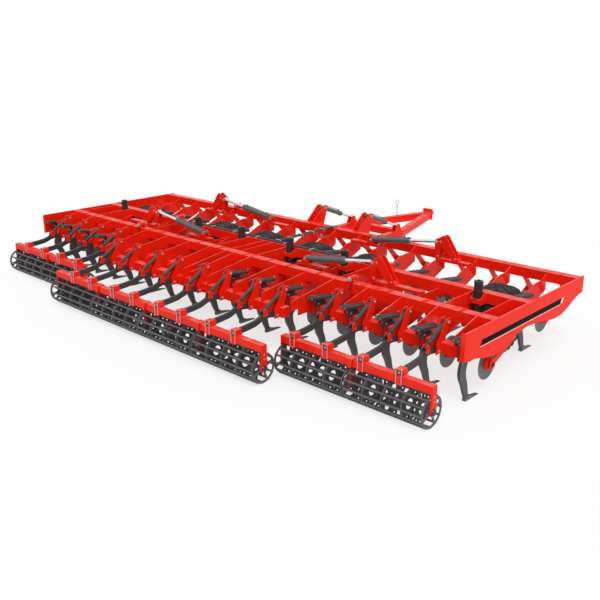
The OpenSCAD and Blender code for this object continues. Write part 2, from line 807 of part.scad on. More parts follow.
// Roller arms: the middle line drops from the pivot to the beam in an S
function arm_run(b) = b - arm_pivot_back - (b == bar_y ? wing_roller_y : centre_roller_y);
function arm_z(d, b) =
  let (t = d / arm_run(b), end_z = roller_beam_z + roller_beam_w + roller_arm_d / 2)
    arm_pivot_z + (end_z - arm_pivot_z) * ease(t) + arm_hump * sin(360 * min(t, 0.5)) ;

module roller_arm(x, b) {
  run = arm_run(b) + roller_beam_w / 2;
  h = roller_arm_d / 2;
  n = 12;
  edge = [for (i = [0:n]) let (d = run * i / n) [st(b - arm_pivot_back - d), arm_z(min(d, arm_run(b)), b)]];
  p = [st(b - arm_pivot_back), arm_pivot_z];
  ear = [st(b - arm_pivot_back - strut_back), arm_z(strut_back, b) + h + strut_eye_r + 6];
  difference() {
    plate_x(x - roller_arm_t / 2, roller_arm_t) {
      polygon(concat([for (e = edge) e + [0, h]], [for (i = [n:-1:0]) edge[i] - [0, h]]));
      translate(p) circle(r = h);
    }
    rod_x(x - roller_arm_t, x + roller_arm_t, p[0], p[1], strut_pin_r + pin_gap);
  }
  for (x0 = [x - roller_arm_t / 2 - 10 - 1, x + roller_arm_t / 2 + 1])
    plate_x(x0, 10)
      polygon([
        [ear[0] - 60, ear[1] - strut_eye_r - h], [ear[0] + 60, ear[1] - strut_eye_r - h],
        [ear[0] + 28, ear[1] + 24], [ear[0] - 28, ear[1] + 24]
      ]);
  rod_x(x - roller_arm_t / 2 - 12, x + roller_arm_t / 2 + 12, ear[0], ear[1], strut_pin_r);
  rod_x(x - roller_arm_t / 2 - 2, x + roller_arm_t / 2 + 2, ear[0], ear[1] - strut_eye_r - h + 10, 8);
}

module roller_arms_centre() color(black) both() for (x = centre_arms) roller_arm(x, roller_bar_y);
module roller_arms_wing() color(black) for (x = wing_arms) roller_arm(x, bar_y);
module roller_arms_left() side(-1) roller_arms_wing();
module roller_arms_right() side(1) roller_arms_wing();

// Roller beams with the plates that hold the axle stubs: x are the plates' middles
module roller_beam(xs, y) {
  x0 = xs[0] - end_plate_t / 2;
  x1 = xs[len(xs) - 1] + end_plate_t / 2;
  half = roller_beam_w / 2;
  box(x0, x1, st(y) - half, st(y) + half, roller_beam_z, roller_beam_z + roller_beam_w);
  for (x = xs)
    difference() {
      plate_x(x - end_plate_t / 2, end_plate_t) {
        translate([st(y), roller_r]) circle(r = 60);
        polygon([
          [st(y) - half, roller_beam_z + 10], [st(y) + half, roller_beam_z + 10],
          [st(y) + 58, roller_r + 10], [st(y) - 58, roller_r + 10]
        ]);
      }
      rod_x(x - end_plate_t, x + end_plate_t, st(y), roller_r, stub_r + pin_gap);
    }
}

module roller_beam_centre()
  color(red) roller_beam([for (k = [-2:2]) k * centre_roller_pitch], centre_roller_y);
module roller_beam_wing()
  color(red) roller_beam([for (k = [0:2]) wing_gang_in + k * wing_roller_pitch], wing_roller_y);
module roller_beam_left() side(-1) roller_beam_wing();
module roller_beam_right() side(1) roller_beam_wing();

module roller(x0, pitch, y) {
  a = x0 + end_plate_t / 2 + side_gap;
  b = x0 + pitch - end_plate_t / 2 - side_gap;
  ring_t = 12;
  rings = 5;
  color(black) {
    for (i = [0:rings - 1]) {
      x = a + (b - a - ring_t) * i / (rings - 1);
      plate_x(x, ring_t) translate([st(y), roller_r]) {
        difference() {
          circle(r = roller_r - 6);
          circle(r = roller_r - (i == 0 || i == rings - 1 ? 38 : 56));
        }
        if (i == 0 || i == rings - 1) {
          circle(r = 50);
          for (t = [0, 90]) rotate(t + 22.5) square([2 * roller_r - 60, 34], center = true);
        }
      }
    }
    for (i = [0:roller_bars - 1]) {
      t = 360 / roller_bars * i;
      r = roller_r - roller_bar_r;
      rod_x(a, b, st(y) + r * sin(t), roller_r - r * cos(t), roller_bar_r);
    }
    for (e = [[x0 + 1, a + 1], [b - 1, x0 + pitch - 1]]) rod_x(e[0], e[1], st(y), roller_r, stub_r);
  }
}

module roller_centre_1() roller(-2 * centre_roller_pitch, centre_roller_pitch, centre_roller_y);
module roller_centre_2() roller(-centre_roller_pitch, centre_roller_pitch, centre_roller_y);
module roller_centre_3() roller(0, centre_roller_pitch, centre_roller_y);
module roller_centre_4() roller(centre_roller_pitch, centre_roller_pitch, centre_roller_y);
module roller_right_1() roller(wing_gang_in, wing_roller_pitch, wing_roller_y);
module roller_right_2() roller(wing_gang_in + wing_roller_pitch, wing_roller_pitch, wing_roller_y);
module roller_left_1() side(-1) roller_right_1();
module roller_left_2() side(-1) roller_right_2();

// Lift cylinders of the wheels
module lift_cylinder(x) {
  difference() {
    union() {
      translate([x, st(post_y), beam_bottom - 90]) cylinder(h = post_top - beam_bottom + 90, r = post_r);
      translate([x, st(post_y), lift_pin_z]) cylinder(h = beam_bottom - 90 - lift_pin_z + 1, r = 30);
      rod_x(x - 28, x + 28, st(post_y), lift_pin_z, 48);
    }
    rod_x(x - 60, x + 60, st(post_y), lift_pin_z, lift_pin_r + pin_gap);
  }
}

module wheel_lift(x) {
  lift_cylinder(x);
  wheel_fork(x);
}

module lift_cylinders_centre() color(black) both() for (x = centre_wheels) wheel_lift(x);
module lift_cylinders_left() color(black) side(-1) wheel_lift(wing_wheel);
module lift_cylinders_right() color(black) side(1) wheel_lift(wing_wheel);

// Wheels
module revolved(x)
  translate([x, st(wheel_y), tyre_r]) rotate([0, 90, 0]) rotate_extrude($fn = 72) children();

module tyre(x)
  color(black) revolved(x) {
    w = tyre_w / 2;
    wall = tyre_r - rim_r;
    low = rim_r + 0.46 * wall;
    high = rim_r + 0.73 * wall;
    edge = rim_r + 0.94 * wall;
    polygon([
      [rim_r, -w + 35], [rim_r + 0.06 * wall, -w + 22], [low, -w], [high, -w + 2],
      [edge, -w + 34], [tyre_r, -w + 90], [tyre_r, w - 90], [edge, w - 34],
      [high, w - 2], [low, w], [rim_r + 0.06 * wall, w - 22], [rim_r, w - 35]
    ]);
  }

module rim(x)
  color(silver) revolved(x) {
    w = tyre_w / 2 - 35;
    polygon([
      [axle_r + pin_gap, -fork_in + side_gap], [75, -fork_in + side_gap], [75, 20], [120, 30],
      [rim_r - 40, 30], [rim_r - 30, -w + 40], [rim_r - 14, -w], [rim_r, -w],
      [rim_r, w], [rim_r - 14, w], [rim_r - 30, w - 40], [rim_r - 40, 48], [120, 48],
      [75, 60], [75, fork_in - side_gap], [axle_r + pin_gap, fork_in - side_gap]
    ]);
  }

module tyre_left() tyre(-wing_wheel);
module tyre_centre_1() tyre(-centre_wheels[1]);
module tyre_centre_2() tyre(-centre_wheels[0]);
module tyre_centre_3() tyre(centre_wheels[0]);
module tyre_centre_4() tyre(centre_wheels[1]);
module tyre_right() tyre(wing_wheel);
module rim_left() rim(-wing_wheel);
module rim_centre_1() rim(-centre_wheels[1]);
module rim_centre_2() rim(-centre_wheels[0]);
module rim_centre_3() rim(centre_wheels[0]);
module rim_centre_4() rim(centre_wheels[1]);
module rim_right() rim(wing_wheel);

// Cylinders: drawn along Z from the fixed pin, with the pins along Y
module barrel(len, r, rod_r, eye_r, eye_w, bore_len)
  difference() {
    union() {
      translate([0, eye_w / 2, 0]) rotate([90, 0, 0]) cylinder(h = eye_w, r = eye_r);
      translate([0, 0, eye_r * 0.6]) cylinder(h = eye_r, r = r * 0.7);
      translate([0, 0, eye_r + 20]) cylinder(h = len - eye_r - 20, r = r);
    }
    translate([0, eye_w, 0]) rotate([90, 0, 0]) cylinder(h = 2 * eye_w, r = fold_pin_r + pin_gap);
    translate([0, 0, len - bore_len]) cylinder(h = bore_len + 1, r = rod_r + pin_gap);
  }

module piston_rod(from, to, r, eye_r, eye_w) {
  translate([0, 0, from]) cylinder(h = to - from, r = r);
  translate([0, eye_w / 2, to]) rotate([90, 0, 0]) cylinder(h = eye_w, r = eye_r);
}

module along_fold(s, y)
  translate([s * fold_anchor_x, st(y), fold_anchor_z]) rotate([0, s * (90 - fold_angle), 0]) children();

module fold_barrels(s)
  color(steel)
    for (y = [fold_rear_y, fold_front_y]) along_fold(s, y)
      barrel(fold_barrel_len, fold_barrel_r, fold_rod_r, fold_eye_r, fold_eye_w, fold_bore_len);

module fold_rods(s)
  color(silver)
    for (y = [fold_rear_y, fold_front_y]) along_fold(s, y)
      piston_rod(fold_barrel_len - fold_rod_inside, fold_len, fold_rod_r, fold_eye_r - 4, fold_eye_w);

module fold_barrels_left() fold_barrels(-1);
module fold_barrels_right() fold_barrels(1);
module fold_rods_left() fold_rods(-1);
module fold_rods_right() fold_rods(1);

// Drawbar
module drawbar()
  color(red) {
    z0 = drawbar_z - drawbar_h / 2;
    half = drawbar_w / 2;
    nose = 90;
    difference() {
      union() {
        both() {
          box(drawbar_x - half, drawbar_x + half, st(drawbar_y), st(drawbar_bend_y), z0, z0 + drawbar_h);
          rod_x(drawbar_x - half, drawbar_x + half, st(drawbar_y), drawbar_z, drawbar_eye_r - 10);
          for (x0 = [drawbar_x - level_eye_w / 2 - side_gap - 14, drawbar_x + level_eye_w / 2 + side_gap])
            plate_x(x0, 14)
              polygon([
                [st(level_rod_y) - 110, z0 + drawbar_h - 1], [st(level_rod_y) + 110, z0 + drawbar_h - 1],
                [st(level_rod_y) + 40, level_rod_z + 35], [st(level_rod_y) - 40, level_rod_z + 35]
              ]);
        }
        translate([0, 0, z0]) linear_extrude(drawbar_h)
          difference() {
            polygon([
              [drawbar_x + half, st(drawbar_bend_y) - 60], [drawbar_x + half, st(drawbar_bend_y) + 40],
              [nose, st(head_y)], [-nose, st(head_y)],
              [-drawbar_x - half, st(drawbar_bend_y) + 40], [-drawbar_x - half, st(drawbar_bend_y) - 60]
            ]);
            polygon([
              [drawbar_x - half - 10, st(drawbar_bend_y) + 80], [0, st(head_y) - head_web],
              [-drawbar_x + half + 10, st(drawbar_bend_y) + 80]
            ]);
          }
        box(-nose - 20, nose + 20, st(head_y) - 20, st(head_y) + 30, hitch_z - 120, hitch_z + 110);
        box(-45, 45, st(head_y) + 20, st(hitch_y), hitch_z - hitch_t / 2, hitch_z + hitch_t / 2);
        translate([0, st(hitch_y), hitch_z - hitch_t / 2]) cylinder(h = hitch_t, r = hitch_eye_r);
      }
      rod_x(-drawbar_x - drawbar_w, drawbar_x + drawbar_w, st(drawbar_y), drawbar_z, drawbar_pin_r + pin_gap);
      translate([0, st(hitch_y), 0]) cylinder(h = 2 * hitch_z, r = hitch_r);
    }
  }

module along_level(x)
  translate([x, st(level_y), level_z]) rotate([0, 0, 90]) rotate([0, 90 - level_angle, 0]) children();

module level_barrels()
  color(steel) both() along_level(drawbar_x)
    barrel(level_barrel_len, level_r, level_rod_r, level_eye_r, level_eye_w, level_bore);

module level_rods()
  color(silver) both() along_level(drawbar_x)
    piston_rod(level_barrel_len - level_rod_inside, level_len, level_rod_r, level_eye_r - 4, level_eye_w);

// Pipes along the middle beam and forward to the front beam
pipe_r = 12;
pipe_end = 300;
module hydraulic_lines()
  color(black) {
    z = frame_top + pipe_r;
    for (i = [0:1])
      rod_x(-hinge_x + pipe_end, hinge_x - pipe_end, st(mid_beam_y) - 30 + 30 * i, z, pipe_r);
    for (i = [0:2])
      rod_y(60 + 34 * i, st(mid_beam_y) + 30, st(front_front) - 20, z, pipe_r);
  }

// Stem and ring that hold the hoses over the drawbar
guide_y = 5690;
guide_x = 265;
guide_h = 290;
module hose_guide()
  color(silver) {
    z0 = drawbar_z + drawbar_h / 2;
    ring_r = 55;
    z1 = z0 + guide_h;
    translate([-guide_x, st(guide_y), z0]) cylinder(h = z1 - ring_r - z0, r = 8);
    translate([-guide_x, st(guide_y), z1]) rotate([0, 90, 0]) rotate_extrude() translate([ring_r, 0]) circle(r = 7, $fn = 20);
  }

frame_centre();
frame_left();
frame_right();
webs_centre();
webs_left();
webs_right();
tines_centre();
tines_left();
tines_right();
springs_centre();
springs_left();
springs_right();
disc_arms_centre();
disc_arms_left();
disc_arms_right();
roller_arms_centre();
roller_arms_left();
roller_arms_right();
roller_beam_centre();
roller_beam_left();
roller_beam_right();
lift_cylinders_centre();
lift_cylinders_left();
lift_cylinders_right();
rear_discs_centre();
rear_discs_left();
rear_discs_right();
front_discs_centre();
front_discs_left();
front_discs_right();
roller_centre_1();
roller_centre_2();
roller_centre_3();
roller_centre_4();
roller_left_1();
roller_left_2();
roller_right_1();
roller_right_2();
tyre_left();
tyre_centre_1();
tyre_centre_2();
tyre_centre_3();
tyre_centre_4();
tyre_right();
rim_left();
rim_centre_1();
rim_centre_2();
rim_centre_3();
rim_centre_4();
rim_right();
fold_barrels_left();
fold_barrels_right();
fold_rods_left();
fold_rods_right();
drawbar();
level_barrels();
level_rods();
hydraulic_lines();
hose_guide();
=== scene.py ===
"""Looks of a folding stubble cultivator: finishes for its nodes, and fasteners, tread and trim."""
import math

import bmesh
import bpy
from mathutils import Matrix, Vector


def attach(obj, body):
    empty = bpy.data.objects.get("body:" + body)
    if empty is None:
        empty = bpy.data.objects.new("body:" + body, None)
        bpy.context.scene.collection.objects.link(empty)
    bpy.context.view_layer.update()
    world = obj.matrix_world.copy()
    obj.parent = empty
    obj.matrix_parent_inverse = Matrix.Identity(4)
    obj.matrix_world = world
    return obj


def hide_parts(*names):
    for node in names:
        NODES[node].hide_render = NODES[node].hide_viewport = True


bl_info = {
    "name": "Stubble cultivator looks",
    "version": (1, 0, 0),
    "blender": (4, 5, 0),
    "location": "View3D > Sidebar > Cultivator",
    "description": "Dresses the cultivator's frame with finishes, fasteners, tread and trim",
    "category": "Object",
}

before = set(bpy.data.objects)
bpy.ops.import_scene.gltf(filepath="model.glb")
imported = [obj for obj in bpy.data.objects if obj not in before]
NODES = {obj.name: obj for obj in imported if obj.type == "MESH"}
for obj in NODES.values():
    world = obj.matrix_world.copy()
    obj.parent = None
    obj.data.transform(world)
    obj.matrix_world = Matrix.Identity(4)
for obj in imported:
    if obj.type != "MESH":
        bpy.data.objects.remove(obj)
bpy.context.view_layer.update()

UP, DOWN = Vector((0, 0, 1)), Vector((0, 0, -1))
RIGHT, AHEAD = Vector((1, 0, 0)), Vector((0, 1, 0))
BOTH = (1, -1)
SIDES = ((1, "right"), (-1, "left"))
FULL_TURN = 2 * math.pi

# Measures are in metres, and stations in millimetres from the side plates' rear edge
STATION_ZERO = -2.6745


def st(mm):
    """Y of a station."""
    return mm / 1000 + STATION_ZERO


# Beams, tool bars, lines of the tools, roller arms and side plates
BAR_REAR, BAR_FRONT, BAR_ROLLER = st(200), st(2213), st(-230)
BEAM_REAR, BEAM_MID, BEAM_FRONT = st(706), st(1621), st(3160)
BEAM_HALF = 0.075
REAR_LINES = [0.6, 1.2, 1.8, 2.4, 3.0, 3.6, 4.2, 4.78]
FRONT_LINES = [0.3, 0.9, 1.5, 2.1, 2.7, 3.3, 3.9, 4.5]
CENTRE_ARMS = [0.317, 0.847, 1.4912, 2.0212]
WING_ARMS = [2.687, 3.27, 3.853, 4.436]
PLATE_X = 4.915

# Webs stand inside their lines: faces from the line, and the lines whose webs are of full height
REAR_WEB, FRONT_WEB = (0.1, 0.115), (0.075, 0.09)
FULL_WEBS = (0.6, 2.4, 4.2, 4.78)

# Fold hinges, fold cylinders and levelling cylinders
HINGE_X, HINGE_Z = 2.568, 1.077
FOLD_REAR, FOLD_FRONT = st(1150), st(2860)
FOLD_ANCHOR, FOLD_PIN = Vector((1.26, 0, 1.045)), Vector((2.618, 0, 1.242))
LEVEL_X = 0.57
LEVEL_FIXED, LEVEL_ROD = Vector((LEVEL_X, st(3585), 1.25)), Vector((LEVEL_X, st(4525), 0.905))

# Wheels and their lift posts
WHEELS = {
    "wheel_left": -4.2, "wheel_centre_1": -1.8, "wheel_centre_2": -0.6,
    "wheel_centre_3": 0.6, "wheel_centre_4": 1.8, "wheel_right": 4.2,
}
WHEEL_Y, WHEEL_R, RIM_R = st(2079.53), 0.505, 0.286
POST_Y = st(1450)

# Discs, and the pivots of their arms
DISC_REAR, DISC_FRONT, DISC_Z = st(790), st(2910), 0.36
PIVOT_REAR, PIVOT_FRONT, PIVOT_Z = st(1340), st(3460), 0.6

# Tines: place of a spring beside the line, its middle, half length and slope, and the clamp's reach
SPRING_X, SPRING_Z, SPRING_HALF = 0.034, 0.872, 0.2265
SPRING_BACK = Vector((0, -0.9885, 0.1513))
CLAMP_REACH = 0.082

# Roller arms: the bolt behind the tool bar, and the heights between which the arm runs down
ARM_REACH, ARM_HIGH, ARM_LOW, ARM_BOW = 0.1185, 0.66, 0.6035, 0.04

# Rollers: left end, length and station of each gang
ROLLER_WING, ROLLER_CENTRE, ROLLER_R = st(-640), st(-1100), 0.22
CENTRE_GANG, WING_GANG = 1.2765, 1.2145
CENTRE_END, WING_START, WING_JOINT, WING_END = 2.553, 2.474, 3.6885, 4.903
ROLLERS = {
    f"roller_centre_{k + 1}": (-CENTRE_END + CENTRE_GANG * k, CENTRE_GANG, ROLLER_CENTRE)
    for k in range(4)
}
ROLLERS.update({
    f"roller_right_{k + 1}": (WING_START + WING_GANG * k, WING_GANG, ROLLER_WING)
    for k in range(2)
})
ROLLERS.update({
    f"roller_left_{k + 1}": (-WING_JOINT - WING_GANG * k, WING_GANG, ROLLER_WING)
    for k in range(2)
})
ROLLER_BARS = 12
ROLLER_BEAM_TOP, ROLLER_BEAM_HALF = 0.561, 0.05


def section(x):
    """The body that carries what stands at x."""
    if abs(x) < HINGE_X:
        return "centre"
    return "wing_right" if x > 0 else "wing_left"


def tines():
    """X and tool bar station of every tine."""
    yield 0.0, BAR_REAR
    for s in BOTH:
        for x in REAR_LINES:
            yield s * x, BAR_REAR
        for x in FRONT_LINES:
            yield s * x, BAR_FRONT


def arms():
    """X, bar station and roller station of every roller arm."""
    for s in BOTH:
        for x in CENTRE_ARMS:
            yield s * x, BAR_ROLLER, ROLLER_CENTRE
        for x in WING_ARMS:
            yield s * x, BAR_REAR, ROLLER_WING


def disc_units():
    """X, disc station, pivot station, sides of arm and hanger, and the row's body of every disc."""
    yield 0.0, DISC_REAR, PIVOT_REAR, 1, -1, "rear_discs_centre"
    for s, end in SIDES:
        for x in REAR_LINES:
            row = "rear_discs_" + ("centre" if x < HINGE_X else end)
            yield s * x, DISC_REAR, PIVOT_REAR, s, -s, row
        for x in FRONT_LINES:
            wing = x > HINGE_X
            arm = s if wing else -s
            row = "front_discs_" + (end if wing else "centre")
            yield s * x, DISC_FRONT, PIVOT_FRONT, arm, arm, row


def grouped(items, key):
    """Lists of the items that share a key, in the order in which the keys first come."""
    groups = {}
    for item in items:
        groups.setdefault(key(item), []).append(item)
    return groups


def four_round(radius):
    """Y and Z of four bolts on a circle, between the axes."""
    for k in range(4):
        t = math.pi * (0.25 + 0.5 * k)
        yield radius * math.cos(t), radius * math.sin(t)


NOISE_ROUGHNESS = 0.55


# Nodes and finishes
class Val:
    """A node's output that takes part in sums."""

    def __init__(self, board, socket):
        self.board, self.socket = board, socket

    def into(self, socket):
        """Links the value to an input."""
        self.board.tree.links.new(self.socket, socket)

    def sum(self, how, a, b):
        """A Math node on two values or numbers."""
        return self.board.put("ShaderNodeMath", {"operation": how}, {0: a, 1: b})

    def __add__(self, o):
        return self.sum("ADD", self, o)

    def __sub__(self, o):
        return self.sum("SUBTRACT", self, o)

    def __rsub__(self, o):
        return self.sum("SUBTRACT", o, self)

    def __mul__(self, o):
        return self.sum("MULTIPLY", self, o)

    def __truediv__(self, o):
        return self.sum("DIVIDE", self, o)

    def __pow__(self, o):
        return self.sum("POWER", self, o)

    def most(self, o):
        """The larger of two values."""
        return self.sum("MAXIMUM", self, o)

    def step(self, low, high):
        """0 below low, 1 over high, and smooth between."""
        return self.board.put("ShaderNodeMapRange", {"interpolation_type": "SMOOTHSTEP"},
                              {"Value": self, "From Min": low, "From Max": high})

    def wave(self):
        """The value's sine."""
        return self.board.put("ShaderNodeMath", {"operation": "SINE"}, {0: self})


class Board:
    """Puts nodes on one tree."""

    def __init__(self, tree):
        self.tree = tree

    def put(self, kind, settings=None, sockets=None, out=0):
        """A new node's output, with the node's settings made and its inputs set or linked."""
        node = self.tree.nodes.new(kind)
        for key, value in (settings or {}).items():
            setattr(node, key, value)
        for key, value in (sockets or {}).items():
            if isinstance(value, Val):
                value.into(node.inputs[key])
            else:
                node.inputs[key].default_value = value
        return Val(self, node.outputs[out])

    def end(self, kind, value):
        """Closes the tree with an output node."""
        value.into(self.tree.nodes.new(kind).inputs[0])

    def mix(self, share, a, b):
        """Colour a where share is 0, and b where it is 1."""
        return self.put("ShaderNodeMix", {"data_type": "RGBA"}, {0: share, 6: a, 7: b}, 2)

    def noise(self, place, scale, detail):
        """Cloudy noise from 0 to 1."""
        return self.put("ShaderNodeTexNoise", None, {
            "Vector": place, "Scale": scale, "Detail": detail, "Roughness": NOISE_ROUGHNESS})

    def axes(self, place):
        """The three parts of a vector as values."""
        split = self.tree.nodes.new("ShaderNodeSeparateXYZ")
        place.into(split.inputs[0])
        return [Val(self, o) for o in split.outputs]

    def round_axle(self, place, y, z):
        """Distance from an axle that runs along X."""
        _, py, pz = self.axes(place)
        return ((py - y) ** 2 + (pz - z) ** 2) ** 0.5

    def seen(self):
        """1 for what the camera sees, straight, in gloss or through glass."""
        path = self.tree.nodes.new("ShaderNodeLightPath")
        straight, gloss, glass = (Val(self, path.outputs[f"Is {ray} Ray"])
                                  for ray in ("Camera", "Glossy", "Transmission"))
        return straight.most(gloss).most(glass)


def tint(colour, k=1.0):
    """A colour as four numbers, made lighter or darker by k."""
    return tuple(min(1.0, v * k) for v in colour[:3]) + (1.0,)


def empty_board(owner):
    """The board of a material or a world, with its nodes cleared."""
    owner.use_nodes = True
    owner.node_tree.nodes.clear()
    return Board(owner.node_tree)


# Cloudy tone: scale, gain and floor of its noise, and the shares of cloud and fine grain
CLOUD_SCALE, CLOUD_GAIN, CLOUD_LOW, CLOUD_SHARE, FINE_SHARE = 1.7, 1.6, 0.3, 0.7, 0.3
COAT_ROUGHNESS, BUMP_DISTANCE = 0.12, 0.002


def finish(name, colour, spread=0.12, rough=(0.3, 0.45), metal=0.0, coat=0.0, shine=0.5,
           grain=180.0, bump=0.05, more=None):
    """A finish with cloudy tone, fine grain and a light bump.

    The colour varies by the share spread and the roughness between the two of rough, grain is the
    scale of the fine noise, and more may change colour, roughness and the bump's height.
    """
    material = bpy.data.materials.new(name)
    board = empty_board(material)
    shader = board.tree.nodes.new("ShaderNodeBsdfPrincipled")
    board.end("ShaderNodeOutputMaterial", Val(board, shader.outputs[0]))
    place = board.put("ShaderNodeTexCoord", out="Object")
    cloud = board.noise(place, CLOUD_SCALE, detail=5.0)
    fine = height = board.noise(place, grain, detail=2.0)
    share = (cloud * CLOUD_GAIN - CLOUD_LOW) * CLOUD_SHARE + fine * FINE_SHARE
    base = board.mix(share, tint(colour, 1 - spread), tint(colour, 1 + spread))
    gloss = share * (rough[1] - rough[0]) + rough[0]
    if more:
        base, gloss, height = more(board, place, base, gloss, height)
    bumped = board.put("ShaderNodeBump", None, {
        "Strength": bump, "Distance": BUMP_DISTANCE, "Height": height})
    base.into(shader.inputs["Base Color"])
    gloss.into(shader.inputs["Roughness"])
    bumped.into(shader.inputs["Normal"])
    shader.inputs["Metallic"].default_value = metal
    shader.inputs["Coat Weight"].default_value = coat
    shader.inputs["Coat Roughness"].default_value = COAT_ROUGHNESS
    shader.inputs["Specular IOR Level"].default_value = shine
    return material


# Fixed colours of metals, dust, the pale pink of the painted top light, pipes and stripes
STEEL, CHROME, ZINC = (0.35, 0.35, 0.36), (0.75, 0.75, 0.77), (0.5, 0.5, 0.52)
# The first is the pale pink of a painted highlight on the red's up-facing faces, laid as dust; the
# second is real dust on the tyres
TOP_LIGHT_DUST, TYRE_DUST = (0.9, 0.5, 0.46), (0.11, 0.10, 0.09)
CAP_GREY, LINE_BLACK = (0.16, 0.16, 0.165), (0.02, 0.02, 0.022)
STRIPE_BLACK, STRIPE_PALE = (0.006, 0.006, 0.0065), (0.72, 0.72, 0.73)


def lit_top_dust(board, place, base, gloss, height):
    """Pale pink patches on faces that look up: a painted highlight of the light from above, laid
    out as dust.
    """
    normal = board.put("ShaderNodeNewGeometry", out="Normal")
    _, _, up = board.axes(normal)
    level = up.step(0.75, 0.97)
    patches = board.noise(place, 5.0, detail=6.0).step(0.3, 0.7)
    # The up-facing patches take the painted top light, mixed in like dust
    dust_and_top_light = level * patches
    return board.mix(dust_and_top_light * 0.26, base, tint(TOP_LIGHT_DUST)), gloss + dust_and_top_light * 0.1, height


def worn_tip(board, place, base, gloss, height):
    """Bright steel where the paint is worn off near the ground."""
    _, _, z = board.axes(place)
    near_ground = 1 - z.step(0.0, 0.09)
    flakes = board.noise(place, 60.0, detail=4.0).step(0.42, 0.62)
    worn = near_ground * flakes
    return board.mix(worn * 0.5, base, tint(STEEL)), gloss - worn * 0.15, height


def disc_rings(y, hub_colour):
    """Turning marks, a bright edge and a painted hub for the discs at station y."""
    def more(board, place, base, gloss, height):
        r = board.round_axle(place, y, DISC_Z)
        rings = (r * 900.0).wave() * 0.5 + 0.5
        edge = r.step(0.214, 0.222)
        hub = 1 - r.step(0.0605, 0.0615)
        base = board.mix(edge * 0.55, base, tint(STEEL, 0.8))
        base = board.mix(hub, base, tint(hub_colour))
        return base, gloss - rings * 0.06, height + rings * 0.4
    return more


def dusty_rubber(board, place, base, gloss, height):
    """Raised rings on the sidewalls, and dust all over."""
    r = board.round_axle(place, WHEEL_Y, WHEEL_R)
    sidewall = 1 - r.step(0.43, 0.45)
    rings = (r * 420.0).wave().step(0.75, 0.98) * sidewall
    dust_and_top_light = board.noise(place, 9.0, detail=6.0).step(0.5, 0.75)
    return board.mix(dust_and_top_light * 0.25, base, tint(TYRE_DUST)), gloss + dust_and_top_light * 0.08, height + rings * 3.0


def brushed(board, place, base, gloss, height):
    """Fine level lines."""
    lines = board.put("ShaderNodeTexWave", {"bands_direction": "Z"}, {
        "Vector": place, "Scale": 90.0, "Distortion": 6.0, "Detail": 2.0}, 1)
    return base, gloss + lines * 0.1, height + lines * 0.4


FINISH = {}


def make_finishes(look):
    """Makes every finish from the colours of the panel."""
    red, black = look.red, look.black
    disc = {"spread": 0.2, "rough": (0.35, 0.5), "metal": 0.3}
    FINISH.update(
        # The red's faces that look up get a painted highlight of the light from above, in dust-like
        # patches
        red=finish("gloss_red_paint", red, spread=0.07, rough=(0.36, 0.5), coat=0.33, shine=0.0,
                   bump=0.02, more=lit_top_dust),
        strap=finish("strap_red_paint", red, spread=0.07, rough=(0.45, 0.6), shine=0.04, bump=0.02),
        black=finish("satin_black_paint", black, spread=0.3, rough=(0.42, 0.6), bump=0.08),
        tine=finish("tine_black", tint(black, 1.7), spread=0.3, rough=(0.42, 0.58), bump=0.12,
                    more=worn_tip),
        roller=finish("roller_black", tint(black, 2.9), spread=0.35, rough=(0.4, 0.6), grain=120.0,
                      bump=0.15),
        rear_disc=finish("disc_steel_rear", look.disc, more=disc_rings(DISC_REAR, red), **disc),
        front_disc=finish("disc_steel_front", look.disc, more=disc_rings(DISC_FRONT, red), **disc),
        tyre=finish("tyre_rubber", look.rubber, spread=0.25, rough=(0.7, 0.88), grain=260.0,
                    bump=0.25, more=dusty_rubber),
        rim=finish("rim_grey_paint", look.rim, spread=0.08, rough=(0.35, 0.5), coat=0.1),
        barrel=finish("cylinder_grey_paint", look.barrel, spread=0.15, rough=(0.35, 0.5),
                      bump=0.06),
        plate=finish("roller_plate_black", tint(black, 1.2), spread=0.3, rough=(0.45, 0.6),
                     grain=120.0, bump=0.1),
        post=finish("post_black", tint(black, 0.45), spread=0.3, rough=(0.35, 0.5)),
        cap=finish("cap_grey", CAP_GREY, spread=0.15, rough=(0.4, 0.55)),
        rod=finish("rod_chrome", CHROME, spread=0.05, rough=(0.08, 0.18), metal=1.0, bump=0.01),
        zinc=finish("zinc_plate", ZINC, spread=0.15, rough=(0.35, 0.55), metal=0.8, more=brushed),
        hose=finish("line_black", LINE_BLACK, spread=0.3, rough=(0.35, 0.6), grain=90.0),
        stripe=finish("stripe_black", STRIPE_BLACK, spread=0.25, rough=(0.5, 0.6), shine=0.03,
                      bump=0.02),
        pale=finish("stripe_pale", STRIPE_PALE, spread=0.06, rough=(0.4, 0.5), shine=0.3,
                    bump=0.02),
    )


# Start of a node's name and its finish; the first that fits holds
NODE_FINISH = (
    ("frame_", "red"), ("webs_", "red"), ("tines_", "tine"), ("springs_", "black"),
    ("disc_arms_", "red"), ("roller_arms_", "black"), ("roller_beam_", "red"),
    ("lift_cylinders_", "post"), ("rear_discs_", "rear_disc"), ("front_discs_", "front_disc"),
    ("roller_", "roller"), ("tyre_", "tyre"), ("rim_", "rim"), ("fold_barrels_", "barrel"),
    ("fold_rods_", "rod"), ("drawbar", "red"), ("level_barrels", "barrel"), ("level_rods", "rod"),
    ("hydraulic_lines", "hose"), ("hose_guide", "zinc"),
)


